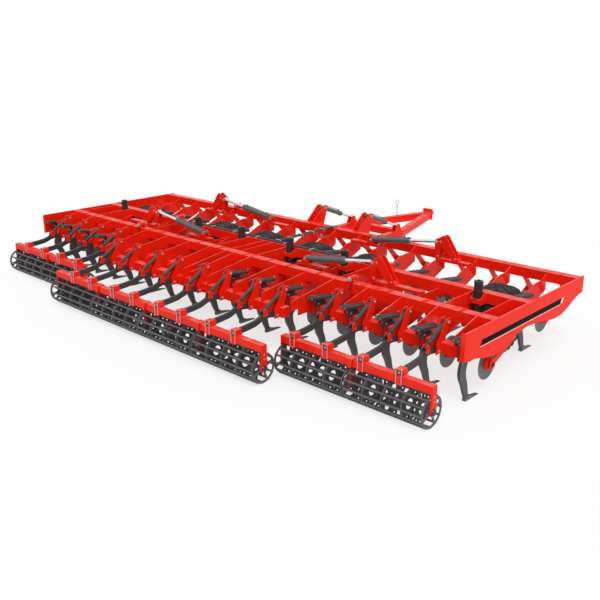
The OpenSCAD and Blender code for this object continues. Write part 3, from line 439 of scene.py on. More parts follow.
# Geometry trees
def new_tree(name, **sockets):
    """An empty geometry tree, its board and its inputs as values; sockets are names and kinds."""
    tree = bpy.data.node_groups.new(name, "GeometryNodeTree")
    for way in ("INPUT", "OUTPUT"):
        tree.interface.new_socket("Geometry", in_out=way, socket_type="NodeSocketGeometry")
    for label, kind in sockets.items():
        tree.interface.new_socket(label.replace("_", " "), in_out="INPUT",
                                  socket_type="NodeSocket" + kind)
    board = Board(tree)
    entry = tree.nodes.new("NodeGroupInput")
    return tree, board, {o.name: Val(board, o) for o in entry.outputs if o.name}


def close_tree(board, instances, material):
    """Ends a tree in real geometry with its material."""
    real = board.put("GeometryNodeRealizeInstances", None, {0: instances})
    painted = board.put("GeometryNodeSetMaterial", None, {0: real, "Material": material})
    board.end("NodeGroupOutput", painted)


def named(board, name, kind):
    """A point attribute as a value."""
    return board.put("GeometryNodeInputNamedAttribute", {"data_type": kind}, {"Name": name})


def aimed(board, mesh, shape, scale):
    """Stands a shape on every point of a mesh, with its Z along the point's aim."""
    spots = board.put("GeometryNodeMeshToPoints", None, {0: mesh})
    turn = board.put("FunctionNodeAlignRotationToVector", {"axis": "Z"},
                     {"Vector": named(board, "aim", "FLOAT_VECTOR")})
    return board.put("GeometryNodeInstanceOnPoints", None, {
        "Points": spots, "Instance": shape, "Rotation": turn, "Scale": scale})


def drum(board, sides, radius, depth, middle):
    """A cylinder with its middle at a height."""
    shape = board.put("GeometryNodeMeshCylinder", None, {
        "Vertices": sides, "Radius": radius, "Depth": depth})
    rise = board.put("ShaderNodeCombineXYZ", None, {"Z": middle})
    return board.put("GeometryNodeTransform", None, {0: shape, "Translation": rise})


# Washer, hexagon head and shank end: sides, radius by the head's, height and foot by the head's
BOLT_PARTS = ((16, 1.45, 0.22, 0.0), (6, 1.0, 1.0, 0.2), (10, 0.55, 0.5, 1.1))
LEG_SIDES = 12


def bolt_tree():
    """A bolt's head with its washer and shank end on every point."""
    tree, board, has = new_tree("bolt_heads", Head_radius="Float", Head_height="Float",
                                Material="Material")
    join = board.tree.nodes.new("GeometryNodeJoinGeometry")
    for sides, radius, height, foot in BOLT_PARTS:
        depth = has["Head height"] * height
        part = drum(board, sides, has["Head radius"] * radius, depth,
                    has["Head height"] * foot + depth * 0.5)
        part.into(join.inputs[0])
    size = named(board, "size", "FLOAT")
    bolts = aimed(board, has["Geometry"], Val(board, join.outputs[0]), size)
    close_tree(board, bolts, has["Material"])
    return tree


def leg_tree():
    """A round leg of the point's own length on every point."""
    tree, board, has = new_tree("round_legs", Leg_radius="Float", Material="Material")
    leg = drum(board, LEG_SIDES, has["Leg radius"], depth=1.0, middle=0.5)
    scale = board.put("ShaderNodeCombineXYZ", None, {
        "X": 1.0, "Y": 1.0, "Z": named(board, "size", "FLOAT")})
    close_tree(board, aimed(board, has["Geometry"], leg, scale), has["Material"])
    return tree


def wheel_tree():
    """The mesh that comes in, repeated round an axle along X."""
    tree, board, has = new_tree("round_the_axle", Count="Int", Centre="Vector", Material="Material")
    line = board.put("GeometryNodeMeshLine", None, {
        "Count": has["Count"], "Start Location": has["Centre"], "Offset": (0, 0, 0)})
    index = board.put("GeometryNodeInputIndex")
    turn = board.put("ShaderNodeCombineXYZ", None, {"X": index * FULL_TURN / has["Count"]})
    ring = board.put("GeometryNodeInstanceOnPoints", None, {
        "Points": line, "Instance": has["Geometry"], "Rotation": turn})
    close_tree(board, ring, has["Material"])
    return tree


def row_tree():
    """The mesh that comes in, repeated along X."""
    tree, board, has = new_tree("along_the_axle", Count="Int", Start="Vector", Pitch="Float",
                                Material="Material")
    step = board.put("ShaderNodeCombineXYZ", None, {"X": has["Pitch"]})
    line = board.put("GeometryNodeMeshLine", None, {
        "Count": has["Count"], "Start Location": has["Start"], "Offset": step})
    row = board.put("GeometryNodeInstanceOnPoints", None, {
        "Points": line, "Instance": has["Geometry"]})
    close_tree(board, row, has["Material"])
    return tree


TREE_MAKERS = {"bolt": bolt_tree, "leg": leg_tree, "wheel": wheel_tree, "row": row_tree}
TREES = {}
SHARP_ANGLE = 0.6


# Pieces
def link(name, data):
    """A new object in the scene."""
    obj = bpy.data.objects.new(name, data)
    bpy.context.scene.collection.objects.link(obj)
    return obj


def run_tree(obj, kind, **values):
    """Runs a tree on obj and leaves the plain mesh that comes out."""
    if kind not in TREES:
        TREES[kind] = TREE_MAKERS[kind]()
    modifier = obj.modifiers.new(kind, "NODES")
    modifier.node_group = TREES[kind]
    for item in TREES[kind].interface.items_tree:
        key = item.name.lower().replace(" ", "_")
        if item.in_out == "INPUT" and key in values:
            modifier[item.identifier] = values[key]
    graph = bpy.context.evaluated_depsgraph_get()
    mesh = bpy.data.meshes.new_from_object(obj.evaluated_get(graph))
    obj.modifiers.clear()
    obj.data = mesh


def settle(obj, body, slot, smooth=30):
    """Shades a piece smooth up to an angle in degrees, and makes it ride on its body."""
    for f in obj.data.polygons:
        f.use_smooth = True
    obj.data.set_sharp_from_angle(angle=math.radians(smooth))
    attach(obj, body)
    return obj


def on_spots(name, kind, spots, slot, finish_name, **values):
    """One piece for each body, with a shape on each of its spots: body, place, aim and size."""
    for body, own in grouped(spots, lambda spot: spot[0]).items():
        _, places, aims, sizes = zip(*own)
        mesh = bpy.data.meshes.new(name)
        mesh.from_pydata(places, [], [])
        mesh.attributes.new("aim", "FLOAT_VECTOR", "POINT").data.foreach_set(
            "vector", [c for aim in aims for c in aim])
        mesh.attributes.new("size", "FLOAT", "POINT").data.foreach_set("value", sizes)
        obj = link(f"{name}_{body}", mesh)
        run_tree(obj, kind, material=FINISH[finish_name], **values)
        settle(obj, body, slot)


def bolts_on(name, spots, radius, height=0.75, slot="zinc", finish_name="zinc"):
    """Bolt heads on spots; height is the head's, by its radius."""
    on_spots(name, "bolt", spots, slot, finish_name, head_radius=radius,
             head_height=radius * height)


def skin(bm, rings, closed=False):
    """Quads between rings of points: a closed row meets its start, an open one gets end faces."""
    if not closed:
        bm.faces.new(rings[0])
        bm.faces.new(rings[-1])
    n = len(rings[0])
    for p, q in zip(rings, rings[1:] + (rings[:1] if closed else [])):
        for i in range(n):
            j = (i + 1) % n
            bm.faces.new((p[i], p[j], q[j], q[i]))


def prism(bm, loop, run):
    """A closed prism from a loop of points, run along a vector."""
    low = [bm.verts.new(p) for p in loop]
    high = [bm.verts.new(Vector(p) + Vector(run)) for p in loop]
    skin(bm, [low, high])


def plate(bm, x, thick, y, z, outline):
    """A plate across X from x on, with an outline of Y and Z about a point."""
    prism(bm, [(x, y + dy, z + dz) for dy, dz in outline], (thick, 0, 0))


def block(bm, x0, x1, y0, y1, z0, z1):
    """A box between two values on each axis."""
    prism(bm, [(x0, y0, z0), (x1, y0, z0), (x1, y1, z0), (x0, y1, z0)], (0, 0, z1 - z0))


def tube(bm, a, b, radii, sides, bored=False):
    """A turned piece from a to b.

    radii are pairs of share of the length and radius. Those of a bored piece run on through the
    bore to where they began.
    """
    a, b = Vector(a), Vector(b)
    turn = (b - a).to_track_quat("Z", "Y").to_matrix()
    angles = [FULL_TURN * i / sides for i in range(sides)]
    rings = [[bm.verts.new(a.lerp(b, share) + turn @ Vector((r * math.cos(t), r * math.sin(t), 0)))
              for t in angles] for share, r in radii]
    skin(bm, rings, closed=bored)


def turned(bm, a, u, radii, sides):
    """A turned piece along u: radii are pairs of distance from a and radius."""
    start, end = radii[0][0], radii[-1][0]
    shares = [((d - start) / (end - start), r) for d, r in radii]
    tube(bm, a + u * start, a + u * end, shares, sides)


def mesh_of(name, build, bevel=0.0):
    """A mesh that build fills through bmesh, with soft edges where bevel is set."""
    bm = bmesh.new()
    build(bm)
    bmesh.ops.recalc_face_normals(bm, faces=bm.faces)
    if bevel:
        sharp = [e for e in bm.edges
                 if len(e.link_faces) == 2 and e.calc_face_angle(0) > SHARP_ANGLE]
        bmesh.ops.bevel(bm, geom=sharp, offset=bevel, segments=2, profile=0.7, affect="EDGES",
                        clamp_overlap=True)
    mesh = bpy.data.meshes.new(name)
    bm.to_mesh(mesh)
    bm.free()
    return mesh


def solid(name, body, slot, finish_name, build, bevel=0.0, smooth=30):
    """A piece that build fills through bmesh."""
    mesh = mesh_of(name, build, bevel)
    mesh.materials.append(FINISH[finish_name])
    return settle(link(name, mesh), body, slot, smooth)


def per_section(name, slot, finish_name, items, build, bevel=0.0):
    """One piece for each section of the frame: items start with X, and build adds one of them."""
    for body, own in grouped(items, lambda item: section(item[0])).items():
        solid(f"{name}_{body}", body, slot, finish_name,
              lambda bm: [build(bm, *item) for item in own], bevel)


# Properties
class CultivatorLook(bpy.types.PropertyGroup):
    """Colours of the finishes and sizes of the fasteners."""

    red: bpy.props.FloatVectorProperty(
        name="Red", description="Colour of the frame's paint", subtype="COLOR",
        default=(0.85, 0.018, 0.005), min=0, max=1)
    black: bpy.props.FloatVectorProperty(
        name="Black", description="Colour of tines, arms and rollers", subtype="COLOR",
        default=(0.032, 0.030, 0.031), min=0, max=1)
    disc: bpy.props.FloatVectorProperty(
        name="Disc", description="Colour of the coulter discs", subtype="COLOR",
        default=(0.1, 0.098, 0.098), min=0, max=1)
    rubber: bpy.props.FloatVectorProperty(
        name="Rubber", description="Colour of the tyres", subtype="COLOR",
        default=(0.024, 0.023, 0.023), min=0, max=1)
    rim: bpy.props.FloatVectorProperty(
        name="Rim", description="Colour of the rims", subtype="COLOR",
        default=(0.55, 0.55, 0.56), min=0, max=1)
    barrel: bpy.props.FloatVectorProperty(
        name="Barrel", description="Colour of the cylinder barrels", subtype="COLOR",
        default=(0.10, 0.10, 0.105), min=0, max=1)
    bolt: bpy.props.FloatProperty(
        name="Bolt", description="Radius of a common bolt head", unit="LENGTH",
        default=0.013, min=0.008, max=0.03)
    rings: bpy.props.IntProperty(
        name="Rings", description="Inner discs of one cage roller", default=6, min=2, max=9)
    lugs: bpy.props.IntProperty(
        name="Lugs", description="Tread lugs round one side of a tyre", default=26, min=16, max=36)
    lug: bpy.props.FloatProperty(
        name="Lug height", description="Height of the tread's lugs", unit="LENGTH",
        default=0.022, min=0.01, max=0.03)


class CultivatorStage(bpy.types.PropertyGroup):
    """Camera and light."""

    place: bpy.props.FloatVectorProperty(
        name="Camera", description="Place of the camera", subtype="TRANSLATION",
        default=(9.22167, -10.21654, 4.28892))
    tilt: bpy.props.FloatProperty(
        name="Tilt", description="Camera's tilt from straight down", subtype="ANGLE",
        default=math.radians(71.45))
    heading: bpy.props.FloatProperty(
        name="Heading", description="Camera's turn about the vertical", subtype="ANGLE",
        default=math.radians(43.03))
    lens: bpy.props.FloatProperty(
        name="Lens", description="Focal length on a 36 mm sensor", unit="CAMERA", default=45.55)
    sky: bpy.props.FloatProperty(
        name="Sky", description="Strength of the even light", default=0.55, min=0, max=2)
    sun: bpy.props.FloatProperty(
        name="Sun", description="Strength of the key light", default=1.5, min=0, max=6)
    fill: bpy.props.FloatProperty(
        name="Fill", description="Strength of the fill light", default=0.55, min=0, max=6)


# Stage
SENSOR_WIDTH, CLIP_END = 36.0, 200.0
FLOOR_HALF, FLOOR_NEAR, FLOOR_FAR = 60, 4.0, 8.5
FLOOR_GREY, WHITE = (0.93, 0.93, 0.93, 1), (1, 1, 1, 1)
GLOW_NEAR, GLOW_GAIN = 0.68, 0.32


def floor_finish():
    """Pale floor that keeps the shadow near the machine and is plain white far from it."""
    material = bpy.data.materials.new("pale_floor")
    board = empty_board(material)
    x, y, _ = board.axes(board.put("ShaderNodeTexCoord", out="Object"))
    far = ((x * x + y * y) ** 0.5).step(FLOOR_NEAR, FLOOR_FAR)
    plain = board.put("ShaderNodeBsdfDiffuse", None, {"Color": FLOOR_GREY})
    glow = board.put("ShaderNodeEmission", None, {"Color": WHITE, "Strength": 1.0})
    share = (far * GLOW_GAIN + GLOW_NEAR) * board.seen()
    mixed = board.put("ShaderNodeMixShader", None, {0: share, 1: plain, 2: glow})
    board.end("ShaderNodeOutputMaterial", mixed)
    return material


class CULTIVATOR_OT_stage(bpy.types.Operator):
    """Sets up the camera, the floor and the light"""

    bl_idname = "cultivator.stage"
    bl_label = "Stage"
    bl_options = {"REGISTER", "UNDO"}

    def execute(self, context):
        scene, stage = context.scene, context.scene.cultivator_stage
        scene.view_settings.view_transform = "Standard"
        camera = bpy.data.cameras.new("photo_camera")
        camera.lens, camera.sensor_width, camera.clip_end = stage.lens, SENSOR_WIDTH, CLIP_END
        eye = link("photo_camera", camera)
        eye.location, eye.rotation_euler = stage.place, (stage.tilt, 0, stage.heading)
        scene.camera = eye

        world = bpy.data.worlds.new("white_room")
        board = empty_board(world)
        strength = board.seen() * (1.0 - stage.sky) + stage.sky
        glow = board.put("ShaderNodeBackground", None, {"Color": WHITE, "Strength": strength})
        board.end("ShaderNodeOutputWorld", glow)
        scene.world = world

        # Lamps: name, strength, width and turns about X, Y and Z in degrees
        lamps = (("key_sun", stage.sun, 40, (28, 14, 20)),
                 ("fill_sun", stage.fill, 60, (62, 0, 62)))
        for name, strength, width, turns in lamps:
            lamp = bpy.data.lights.new(name, "SUN")
            lamp.energy, lamp.angle = strength, math.radians(width)
            link(name, lamp).rotation_euler = [math.radians(t) for t in turns]

        floor = bpy.data.meshes.new("floor")
        corners = [(x * FLOOR_HALF, y * FLOOR_HALF, 0)
                   for x, y in ((-1, -1), (1, -1), (1, 1), (-1, 1))]
        floor.from_pydata(corners, [], [(0, 1, 2, 3)])
        floor.materials.append(floor_finish())
        link("floor", floor)
        return {"FINISHED"}


class CULTIVATOR_OT_finishes(bpy.types.Operator):
    """Makes the finishes and gives every node of the frame its own"""

    bl_idname = "cultivator.finishes"
    bl_label = "Finishes"
    bl_options = {"REGISTER", "UNDO"}

    def execute(self, context):
        make_finishes(context.scene.cultivator_look)
        for name, obj in NODES.items():
            own = FINISH[next(key for start, key in NODE_FINISH if name.startswith(start))]
            if not obj.material_slots:
                obj.data.materials.append(own)
            for slot in obj.material_slots:
                slot.material = own
        return {"FINISHED"}


# Tyres
TYRE_TURNS, TYRE_SMOOTH = 72, 50
LUG_TRIM, LUG_SINK = 0.06, 0.006


def carcass(bm, x, base):
    """A tyre at x without its lugs, which stand on the radius base."""
    # One side from the rim to the tread's middle: radius and half width
    side = [(RIM_R, 0.165), (RIM_R + 0.012, 0.178), (RIM_R + 0.03, 0.182), (RIM_R + 0.06, 0.193),
            (RIM_R + 0.1, 0.1985), (WHEEL_R - 0.085, 0.199), (WHEEL_R - 0.055, 0.19),
            (base - 0.004, 0.168), (base, 0.11), (base + 0.002, 0.0)]
    profile = [(r, -half) for r, half in side] + [(r, half) for r, half in side[-2::-1]]
    angles = [FULL_TURN * i / TYRE_TURNS for i in range(TYRE_TURNS)]
    skin(bm, [[bm.verts.new((x + px, WHEEL_Y + r * math.sin(a), WHEEL_R - r * math.cos(a)))
               for r, px in profile] for a in angles], closed=True)


def lug(bm, s, base, step):
    """One slanting lug from the tread's middle over the shoulder, about the axle at the origin."""
    # Cuts: place across, foot, top, and lead and half length as shares of a step
    rows = [(0.0, base, WHEEL_R - 0.001, 0.0, 0.16),
            (0.08, base - 0.002, WHEEL_R - 0.002, 0.34, 0.17),
            (0.15, base - 0.006, WHEEL_R - 0.010, 0.62, 0.2),
            (0.186, base - 0.03, base - 0.005, 0.74, 0.22),
            (0.1985, base - 0.075, base - 0.06, 0.8, 0.22)]
    start = 0.0 if s > 0 else 0.5 * step
    trim = LUG_TRIM * step
    cuts = []
    for px, foot, top, lead, half in rows:
        a0, a1 = start + (lead - half) * step, start + (lead + half) * step
        low = foot - LUG_SINK
        corners = ((a0, low), (a1, low), (a1 - trim, top), (a0 + trim, top))
        cuts.append([bm.verts.new((s * px, r * math.sin(a), -r * math.cos(a))) for a, r in corners])
    skin(bm, cuts)


class CULTIVATOR_OT_tyres(bpy.types.Operator):
    """Makes the tyres with their chevron tread"""

    bl_idname = "cultivator.tyres"
    bl_label = "Tyres"
    bl_options = {"REGISTER", "UNDO"}

    def execute(self, context):
        look = context.scene.cultivator_look
        base, step = WHEEL_R - look.lug, FULL_TURN / look.lugs
        for body, x in WHEELS.items():
            node = body.replace("wheel_", "tyre_")
            tyre = solid(node + "_carcass", body, "tyre", "tyre",
                         lambda bm: carcass(bm, x, base), smooth=TYRE_SMOOTH)
            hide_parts(node)
            for s, side in SIDES:
                one = mesh_of("lug", lambda bm: lug(bm, s, base, step))
                obj = link(f"{node}_lugs_{side}", one)
                run_tree(obj, "wheel", count=look.lugs, centre=(x, WHEEL_Y, WHEEL_R),
                         material=FINISH["tyre"])
                settle(obj, body, "tyre")
        return {"FINISHED"}


# Bolts, each given as body, place, aim and size
HINGE_FACE, HINGE_BOLT = 0.0705, 2.1
TOWER_FACE, ANCHOR_BOLT = 0.0555, 1.3
# Fold tower: X, Z and size
TOWER_BOLTS = ((FOLD_PIN.x, FOLD_PIN.z, 1.35), (FOLD_PIN.x + 0.08, 1.255, 0.9), (2.98, 1.01, 0.9),
               (2.655, 1.01, 0.9))
LEVEL_FACE = 0.086
# Front tower: Y, Z and size
LEVEL_BOLTS = ((st(3480), 0.725, 1.9), (st(3585), 1.25, 1.4), (st(3300), 0.95, 0.9))
ARM_FACE = 0.0505
# Roller arm's bracket: Y from the tool bar, Z and size
ARM_BOLTS = ((-ARM_REACH, ARM_HIGH, 1.05), (0.064, 0.998, 1.15))
# Tine clamp: Z, aim and size
CLAMP_NUTS = ((0.8, UP, 0.8), (0.587, DOWN, 0.8))
# Rear web: Y from the tool bar, and Z
WEB_BOLTS, WEB_SIZE = ((0.125, 0.79), (0.125, 0.71), (0.36, 0.83)), 0.8
# Ends of a spring: side and size
SPRING_ENDS = ((1, 0.95), (-1, 0.85))
DISC_FACE, DISC_CIRCLE, DISC_BOLT = 0.01, 0.047, 0.42
AXLE_FACE, AXLE_BOLT = 0.024, 1.0
PIVOT_INNER, PIVOT_OUTER, PIVOT_BOLT = 0.051, 0.066, 1.3
HANGER_FACE, HANGER_BOLT = 0.152, 1.1


def hinge_bolts():
    """Heads on the pins of the fold hinges, the fold cylinders and the towers."""
    for s in BOTH:
        for d in BOTH:
            for y in (BEAM_REAR, BEAM_MID, BEAM_FRONT):
                yield ("centre", Vector((s * HINGE_X, y + d * HINGE_FACE, HINGE_Z)), AHEAD * d,
                       HINGE_BOLT)
            for y in (FOLD_REAR, FOLD_FRONT):
                face = y + d * TOWER_FACE
                yield ("centre", Vector((s * FOLD_ANCHOR.x, face, FOLD_ANCHOR.z)), AHEAD * d,
                       ANCHOR_BOLT)
                for x, z, size in TOWER_BOLTS:
                    yield section(s * x), Vector((s * x, face, z)), AHEAD * d, size
            for y, z, size in LEVEL_BOLTS:
                yield "centre", Vector((s * (LEVEL_X + d * LEVEL_FACE), y, z)), RIGHT * d * s, size


def arm_bolts():
    """Heads on both sides of the roller arms' brackets."""
    for x, bar, _ in arms():
        for d in BOTH:
            for y, z, size in ARM_BOLTS:
                yield section(x), Vector((x + d * ARM_FACE, bar + y, z)), RIGHT * d, size


def clamp_nuts():
    """Nuts over and under the tines' clamps."""
    for x, bar in tines():
        for s in BOTH:
            for d in BOTH:
                for z, aim, size in CLAMP_NUTS:
                    spot = Vector((x + s * SPRING_X, bar + d * CLAMP_REACH, z))
                    yield section(x), spot, aim, size


def web_bolts():
    """Heads on the rear webs."""
    for s in BOTH:
        for x in REAR_LINES:
            for y, z in WEB_BOLTS:
                yield (section(s * x), Vector((s * (x - REAR_WEB[0]), BAR_REAR + y, z)), RIGHT * s,
                       WEB_SIZE)


def disc_bolts():
    """Heads on the discs' axles, the arms' pivots, the hangers and round the hubs."""
    for x, y, pivot, arm, hanger, row in disc_units():
        body = section(x)
        inward = RIGHT * -arm
        yield body, Vector((x - arm * AXLE_FACE, y, DISC_Z)), inward, AXLE_BOLT
        if arm == hanger:
            yield body, Vector((x + arm * PIVOT_INNER, pivot, PIVOT_Z)), inward, PIVOT_BOLT
        else:
            yield body, Vector((x + arm * PIVOT_OUTER, pivot, PIVOT_Z)), RIGHT * arm, PIVOT_BOLT
        yield body, Vector((x + hanger * HANGER_FACE, pivot, PIVOT_Z)), RIGHT * hanger, HANGER_BOLT
        for dy, dz in four_round(DISC_CIRCLE):
            yield row, Vector((x - arm * DISC_FACE, y + dy, DISC_Z + dz)), inward, DISC_BOLT


def spring_ends():
    """Caps at both ends of the tines' springs."""
    for x, bar in tines():
        for s in BOTH:
            middle = Vector((x + s * SPRING_X, bar, SPRING_Z))
            for d, size in SPRING_ENDS:
                yield section(x), middle + SPRING_BACK * (d * SPRING_HALF), SPRING_BACK * d, size


class CULTIVATOR_OT_bolts(bpy.types.Operator):
    """Puts bolt heads on hinges, towers, brackets, webs and discs, and caps on the springs"""

    bl_idname = "cultivator.bolts"
    bl_label = "Bolts"
    bl_options = {"REGISTER", "UNDO"}

    def execute(self, context):
        radius = context.scene.cultivator_look.bolt
        groups = (hinge_bolts(), arm_bolts(), clamp_nuts(), web_bolts(), disc_bolts())
        bolts_on("bolts", [spot for group in groups for spot in group], radius)
        bolts_on("spring_caps", spring_ends(), radius, height=0.6, slot="barrel",
                 finish_name="cap")
        return {"FINISHED"}


# Clamp legs: foot, length and radius
TINE_LEG, ROLLER_LEG = (0.615, 0.145, 0.008), (0.452, 0.19, 0.0055)
# Roller clamp's bolts: X beside the arm and Y behind the beam's middle
ROLLER_BOLT_X, ROLLER_BOLT_Y = 0.04, 0.059


class CULTIVATOR_OT_bar_bolts(bpy.types.Operator):
    """Puts the bright legs of the clamps round the tool bars and the roller beams"""

    bl_idname = "cultivator.bar_bolts"
    bl_label = "Clamp legs"
    bl_options = {"REGISTER", "UNDO"}

    def execute(self, context):
        foot, length, radius = TINE_LEG
        legs = [(section(x), Vector((x + s * SPRING_X, bar + d * CLAMP_REACH, foot)), UP, length)
                for x, bar in tines() for s in BOTH for d in BOTH]
        on_spots("clamp_legs", "leg", legs, "zinc", "zinc", leg_radius=radius)
        foot, length, radius = ROLLER_LEG
        legs = [(section(x), Vector((x + s * ROLLER_BOLT_X, y - ROLLER_BOLT_Y, foot)), UP, length)
                for x, _, y in arms() for s in BOTH]
        on_spots("roller_clamp_legs", "leg", legs, "zinc", "zinc", leg_radius=radius)
        return {"FINISHED"}


# Roller clamps
CLAMP_TOP, CLAMP_FOOT = ROLLER_BEAM_TOP + 0.086, 0.449
# Plates: half width, rear and front from the beam's middle, low and high
CLAMP_PLATES = (
    (0.052, -0.07, 0.055, ROLLER_BEAM_TOP + 0.0755, CLAMP_TOP),
    (0.03, -0.06, -0.0505, 0.452, ROLLER_BEAM_TOP - 0.01),
    (0.052, -0.07, 0.05, CLAMP_FOOT, 0.4605),
)
# Cheek: outline of Y and Z from the beam's top, and thickness
CHEEK, CHEEK_THICK = ((-0.05, 0), (0.075, 0), (0.06, 0.08), (-0.05, 0.08)), 0.014
# Gusset on the beam's rear: outline of X and Z, gap to the beam and thickness
GUSSET = ((-0.046, 0.57), (0.046, 0.57), (0.034, 0.47), (0.018, 0.447), (-0.018, 0.447),
          (-0.034, 0.47))
GUSSET_GAP, GUSSET_THICK = 0.0002, 0.026
# Plate over the gusset: half width, rear and front from the beam's middle, and thickness
GUSSET_TOP = (0.05, -0.079, 0.05, 0.013)
# Nuts: over and under the clamp, and on the arm's end
OVER_SIZE, UNDER_SIZE, END_SIZE, END_Z = 0.65, 0.5, 0.9, 0.603


def roller_clamp(bm, x, _, y):
    """Cap, rear plate and foot plate of the clamp on an arm, with a cheek on each side."""
    for half, rear, front, low, high in CLAMP_PLATES:
        block(bm, x - half, x + half, y + rear, y + front, low, high)
    for s in BOTH:
        plate(bm, x + s * ROLLER_BOLT_X - CHEEK_THICK / 2, CHEEK_THICK, y, ROLLER_BEAM_TOP, CHEEK)


def hanger_gusset(bm, x, y):
    """Stiffener of the bearing hanger between two gangs, and the plate over it."""
    rear = y - ROLLER_BEAM_HALF - GUSSET_GAP
    prism(bm, [(x + dx, rear, z) for dx, z in GUSSET], (0, -GUSSET_THICK, 0))
    half, back, front, thick = GUSSET_TOP
    block(bm, x - half, x + half, y + back, y + front,
          ROLLER_BEAM_TOP + GUSSET_GAP, ROLLER_BEAM_TOP + thick)


class CULTIVATOR_OT_roller_clamps(bpy.types.Operator):
    """Clamps the roller arms to their beams with red caps, and stiffens the hangers"""

    bl_idname = "cultivator.roller_clamps"
    bl_label = "Roller clamps"
    bl_options = {"REGISTER", "UNDO"}

    def execute(self, context):
        per_section("roller_clamp", "red", "red", arms(), roller_clamp, bevel=0.003)
        joints = [(x, ROLLER_CENTRE) for x in (-CENTRE_GANG, 0.0, CENTRE_GANG)]
        joints += [(s * WING_JOINT, ROLLER_WING) for s in BOTH]
        per_section("hanger_gusset", "red", "red", joints, hanger_gusset, bevel=0.002)
        nuts = []
        for x, _, y in arms():
            body, rear = section(x), y - ROLLER_BOLT_Y
            for s in BOTH:
                side = x + s * ROLLER_BOLT_X
                nuts.append((body, Vector((side, rear, CLAMP_TOP)), UP, OVER_SIZE))
                nuts.append((body, Vector((side, rear, CLAMP_FOOT)), DOWN, UNDER_SIZE))
            nuts.append((body, Vector((x, y - ROLLER_BEAM_HALF, END_Z)), -AHEAD, END_SIZE))
        bolts_on("roller_clamp_nuts", nuts, context.scene.cultivator_look.bolt)
        return {"FINISHED"}


# Roller cores: what a gang's cage loses at its ends, and the first disc's distance from an end
CORE_START, CORE_LESS, DISC_INSET = 0.016, 0.044, 0.12
# Toothed disc: tips and roots below the bars' radius, bore, thickness and points for each tooth
TIP_DROP, ROOT_DROP, DISC_BORE, DISC_THICK, TOOTH_POINTS = 0.027, 0.072, 0.07, 0.009, 6
# Half of the shaft: share of the length and radius
SHAFT_HALF, SHAFT_SHIFT = [(0, 0.024), (0.02, 0.046), (0.03, 0.046), (0.035, 0.03)], 0.006


def toothed_disc(bm):
    """A flat disc about the X axis with a tooth under every bar, and its middle at the origin."""
    cuts = []
    count = ROLLER_BARS * TOOTH_POINTS
    half = DISC_THICK / 2
    for i in range(count):
        t = FULL_TURN * i / count
        tip = i % TOOTH_POINTS in (0, 1, TOOTH_POINTS - 1)
        rim = ROLLER_R - (TIP_DROP if tip else ROOT_DROP)
        corners = ((rim, -half), (rim, half), (DISC_BORE, half), (DISC_BORE, -half))
        cuts.append([bm.verts.new((x, r * math.sin(t), -r * math.cos(t))) for r, x in corners])
    skin(bm, cuts, closed=True)


class CULTIVATOR_OT_roller_cores(bpy.types.Operator):
    """Fills the cage rollers with their inner discs and a shaft"""

    bl_idname = "cultivator.roller_cores"
    bl_label = "Roller cores"
    bl_options = {"REGISTER", "UNDO"}

    def execute(self, context):
        rings = context.scene.cultivator_look.rings
        shaft = SHAFT_HALF + [(1 - share, r) for share, r in reversed(SHAFT_HALF)]
        for body, (left, length, y) in ROLLERS.items():
            start, span = left + CORE_START, length - CORE_LESS
            obj = link("cage_discs_" + body, mesh_of("ring", toothed_disc))
            run_tree(obj, "row", count=rings, start=(start + DISC_INSET, y, ROLLER_R),
                     pitch=(span - 2 * DISC_INSET) / (rings - 1), material=FINISH["plate"])
            settle(obj, body, "black")
            a = (start + SHAFT_SHIFT, y, ROLLER_R)
            b = (start + span + SHAFT_SHIFT, y, ROLLER_R)
            solid("shaft_" + body, body, "black", "roller",
                  lambda bm: tube(bm, a, b, shaft, sides=18))
        return {"FINISHED"}


# Bearings: half thickness of the end plate, sink and depth of the housing
END_PLATE_HALF, HOUSING_SINK, HOUSING_DEPTH = 0.01, 0.001, 0.019
# Housing: share of the depth and radius
HOUSING = [(0, 0.05), (0.45, 0.05), (0.5, 0.04), (0.9, 0.037), (1, 0.03)]
# Bolts on the housing: height over the plate, circle and size; on the plate: Z and size
HOUSING_BOLT, HOUSING_CIRCLE, HOUSING_SIZE = 0.008, 0.045, 0.45
PLATE_BOLT_Z, PLATE_BOLT_SIZE = (0.36, 0.42), 0.7


class CULTIVATOR_OT_bearings(bpy.types.Operator):
    """Bolts the rollers' bearing housings on the plates at the beams' ends"""

    bl_idname = "cultivator.bearings"
    bl_label = "Bearings"
    bl_options = {"REGISTER", "UNDO"}

    def execute(self, context):
        # Ends: X, station, outward side and body
        ends = [(s * CENTRE_END, ROLLER_CENTRE, s, "centre") for s in BOTH]
        for s, side in SIDES:
            ends += [(s * WING_END, ROLLER_WING, s, "wing_" + side),
                     (s * WING_START, ROLLER_WING, -s, "wing_" + side)]
        spots = []
        for x, y, out, body in ends:
            face = x + out * END_PLATE_HALF
            a = (face - out * HOUSING_SINK, y, ROLLER_R)
            b = (face + out * HOUSING_DEPTH, y, ROLLER_R)
            place = f"{'out' if out * x > 0 else 'in'}_{'right' if x > 0 else 'left'}"
            solid(f"bearing_{body}_{place}", body, "black", "black",
                  lambda bm: tube(bm, a, b, HOUSING, sides=28))
            for dy, dz in four_round(HOUSING_CIRCLE):
                spot = Vector((face + out * HOUSING_BOLT, y + dy, ROLLER_R + dz))
                spots.append((body, spot, RIGHT * out, HOUSING_SIZE))
            for z in PLATE_BOLT_Z:
                spots.append((body, Vector((face, y, z)), RIGHT * out, PLATE_BOLT_SIZE))
        bolts_on("bearing_bolts", spots, context.scene.cultivator_look.bolt)
        return {"FINISHED"}


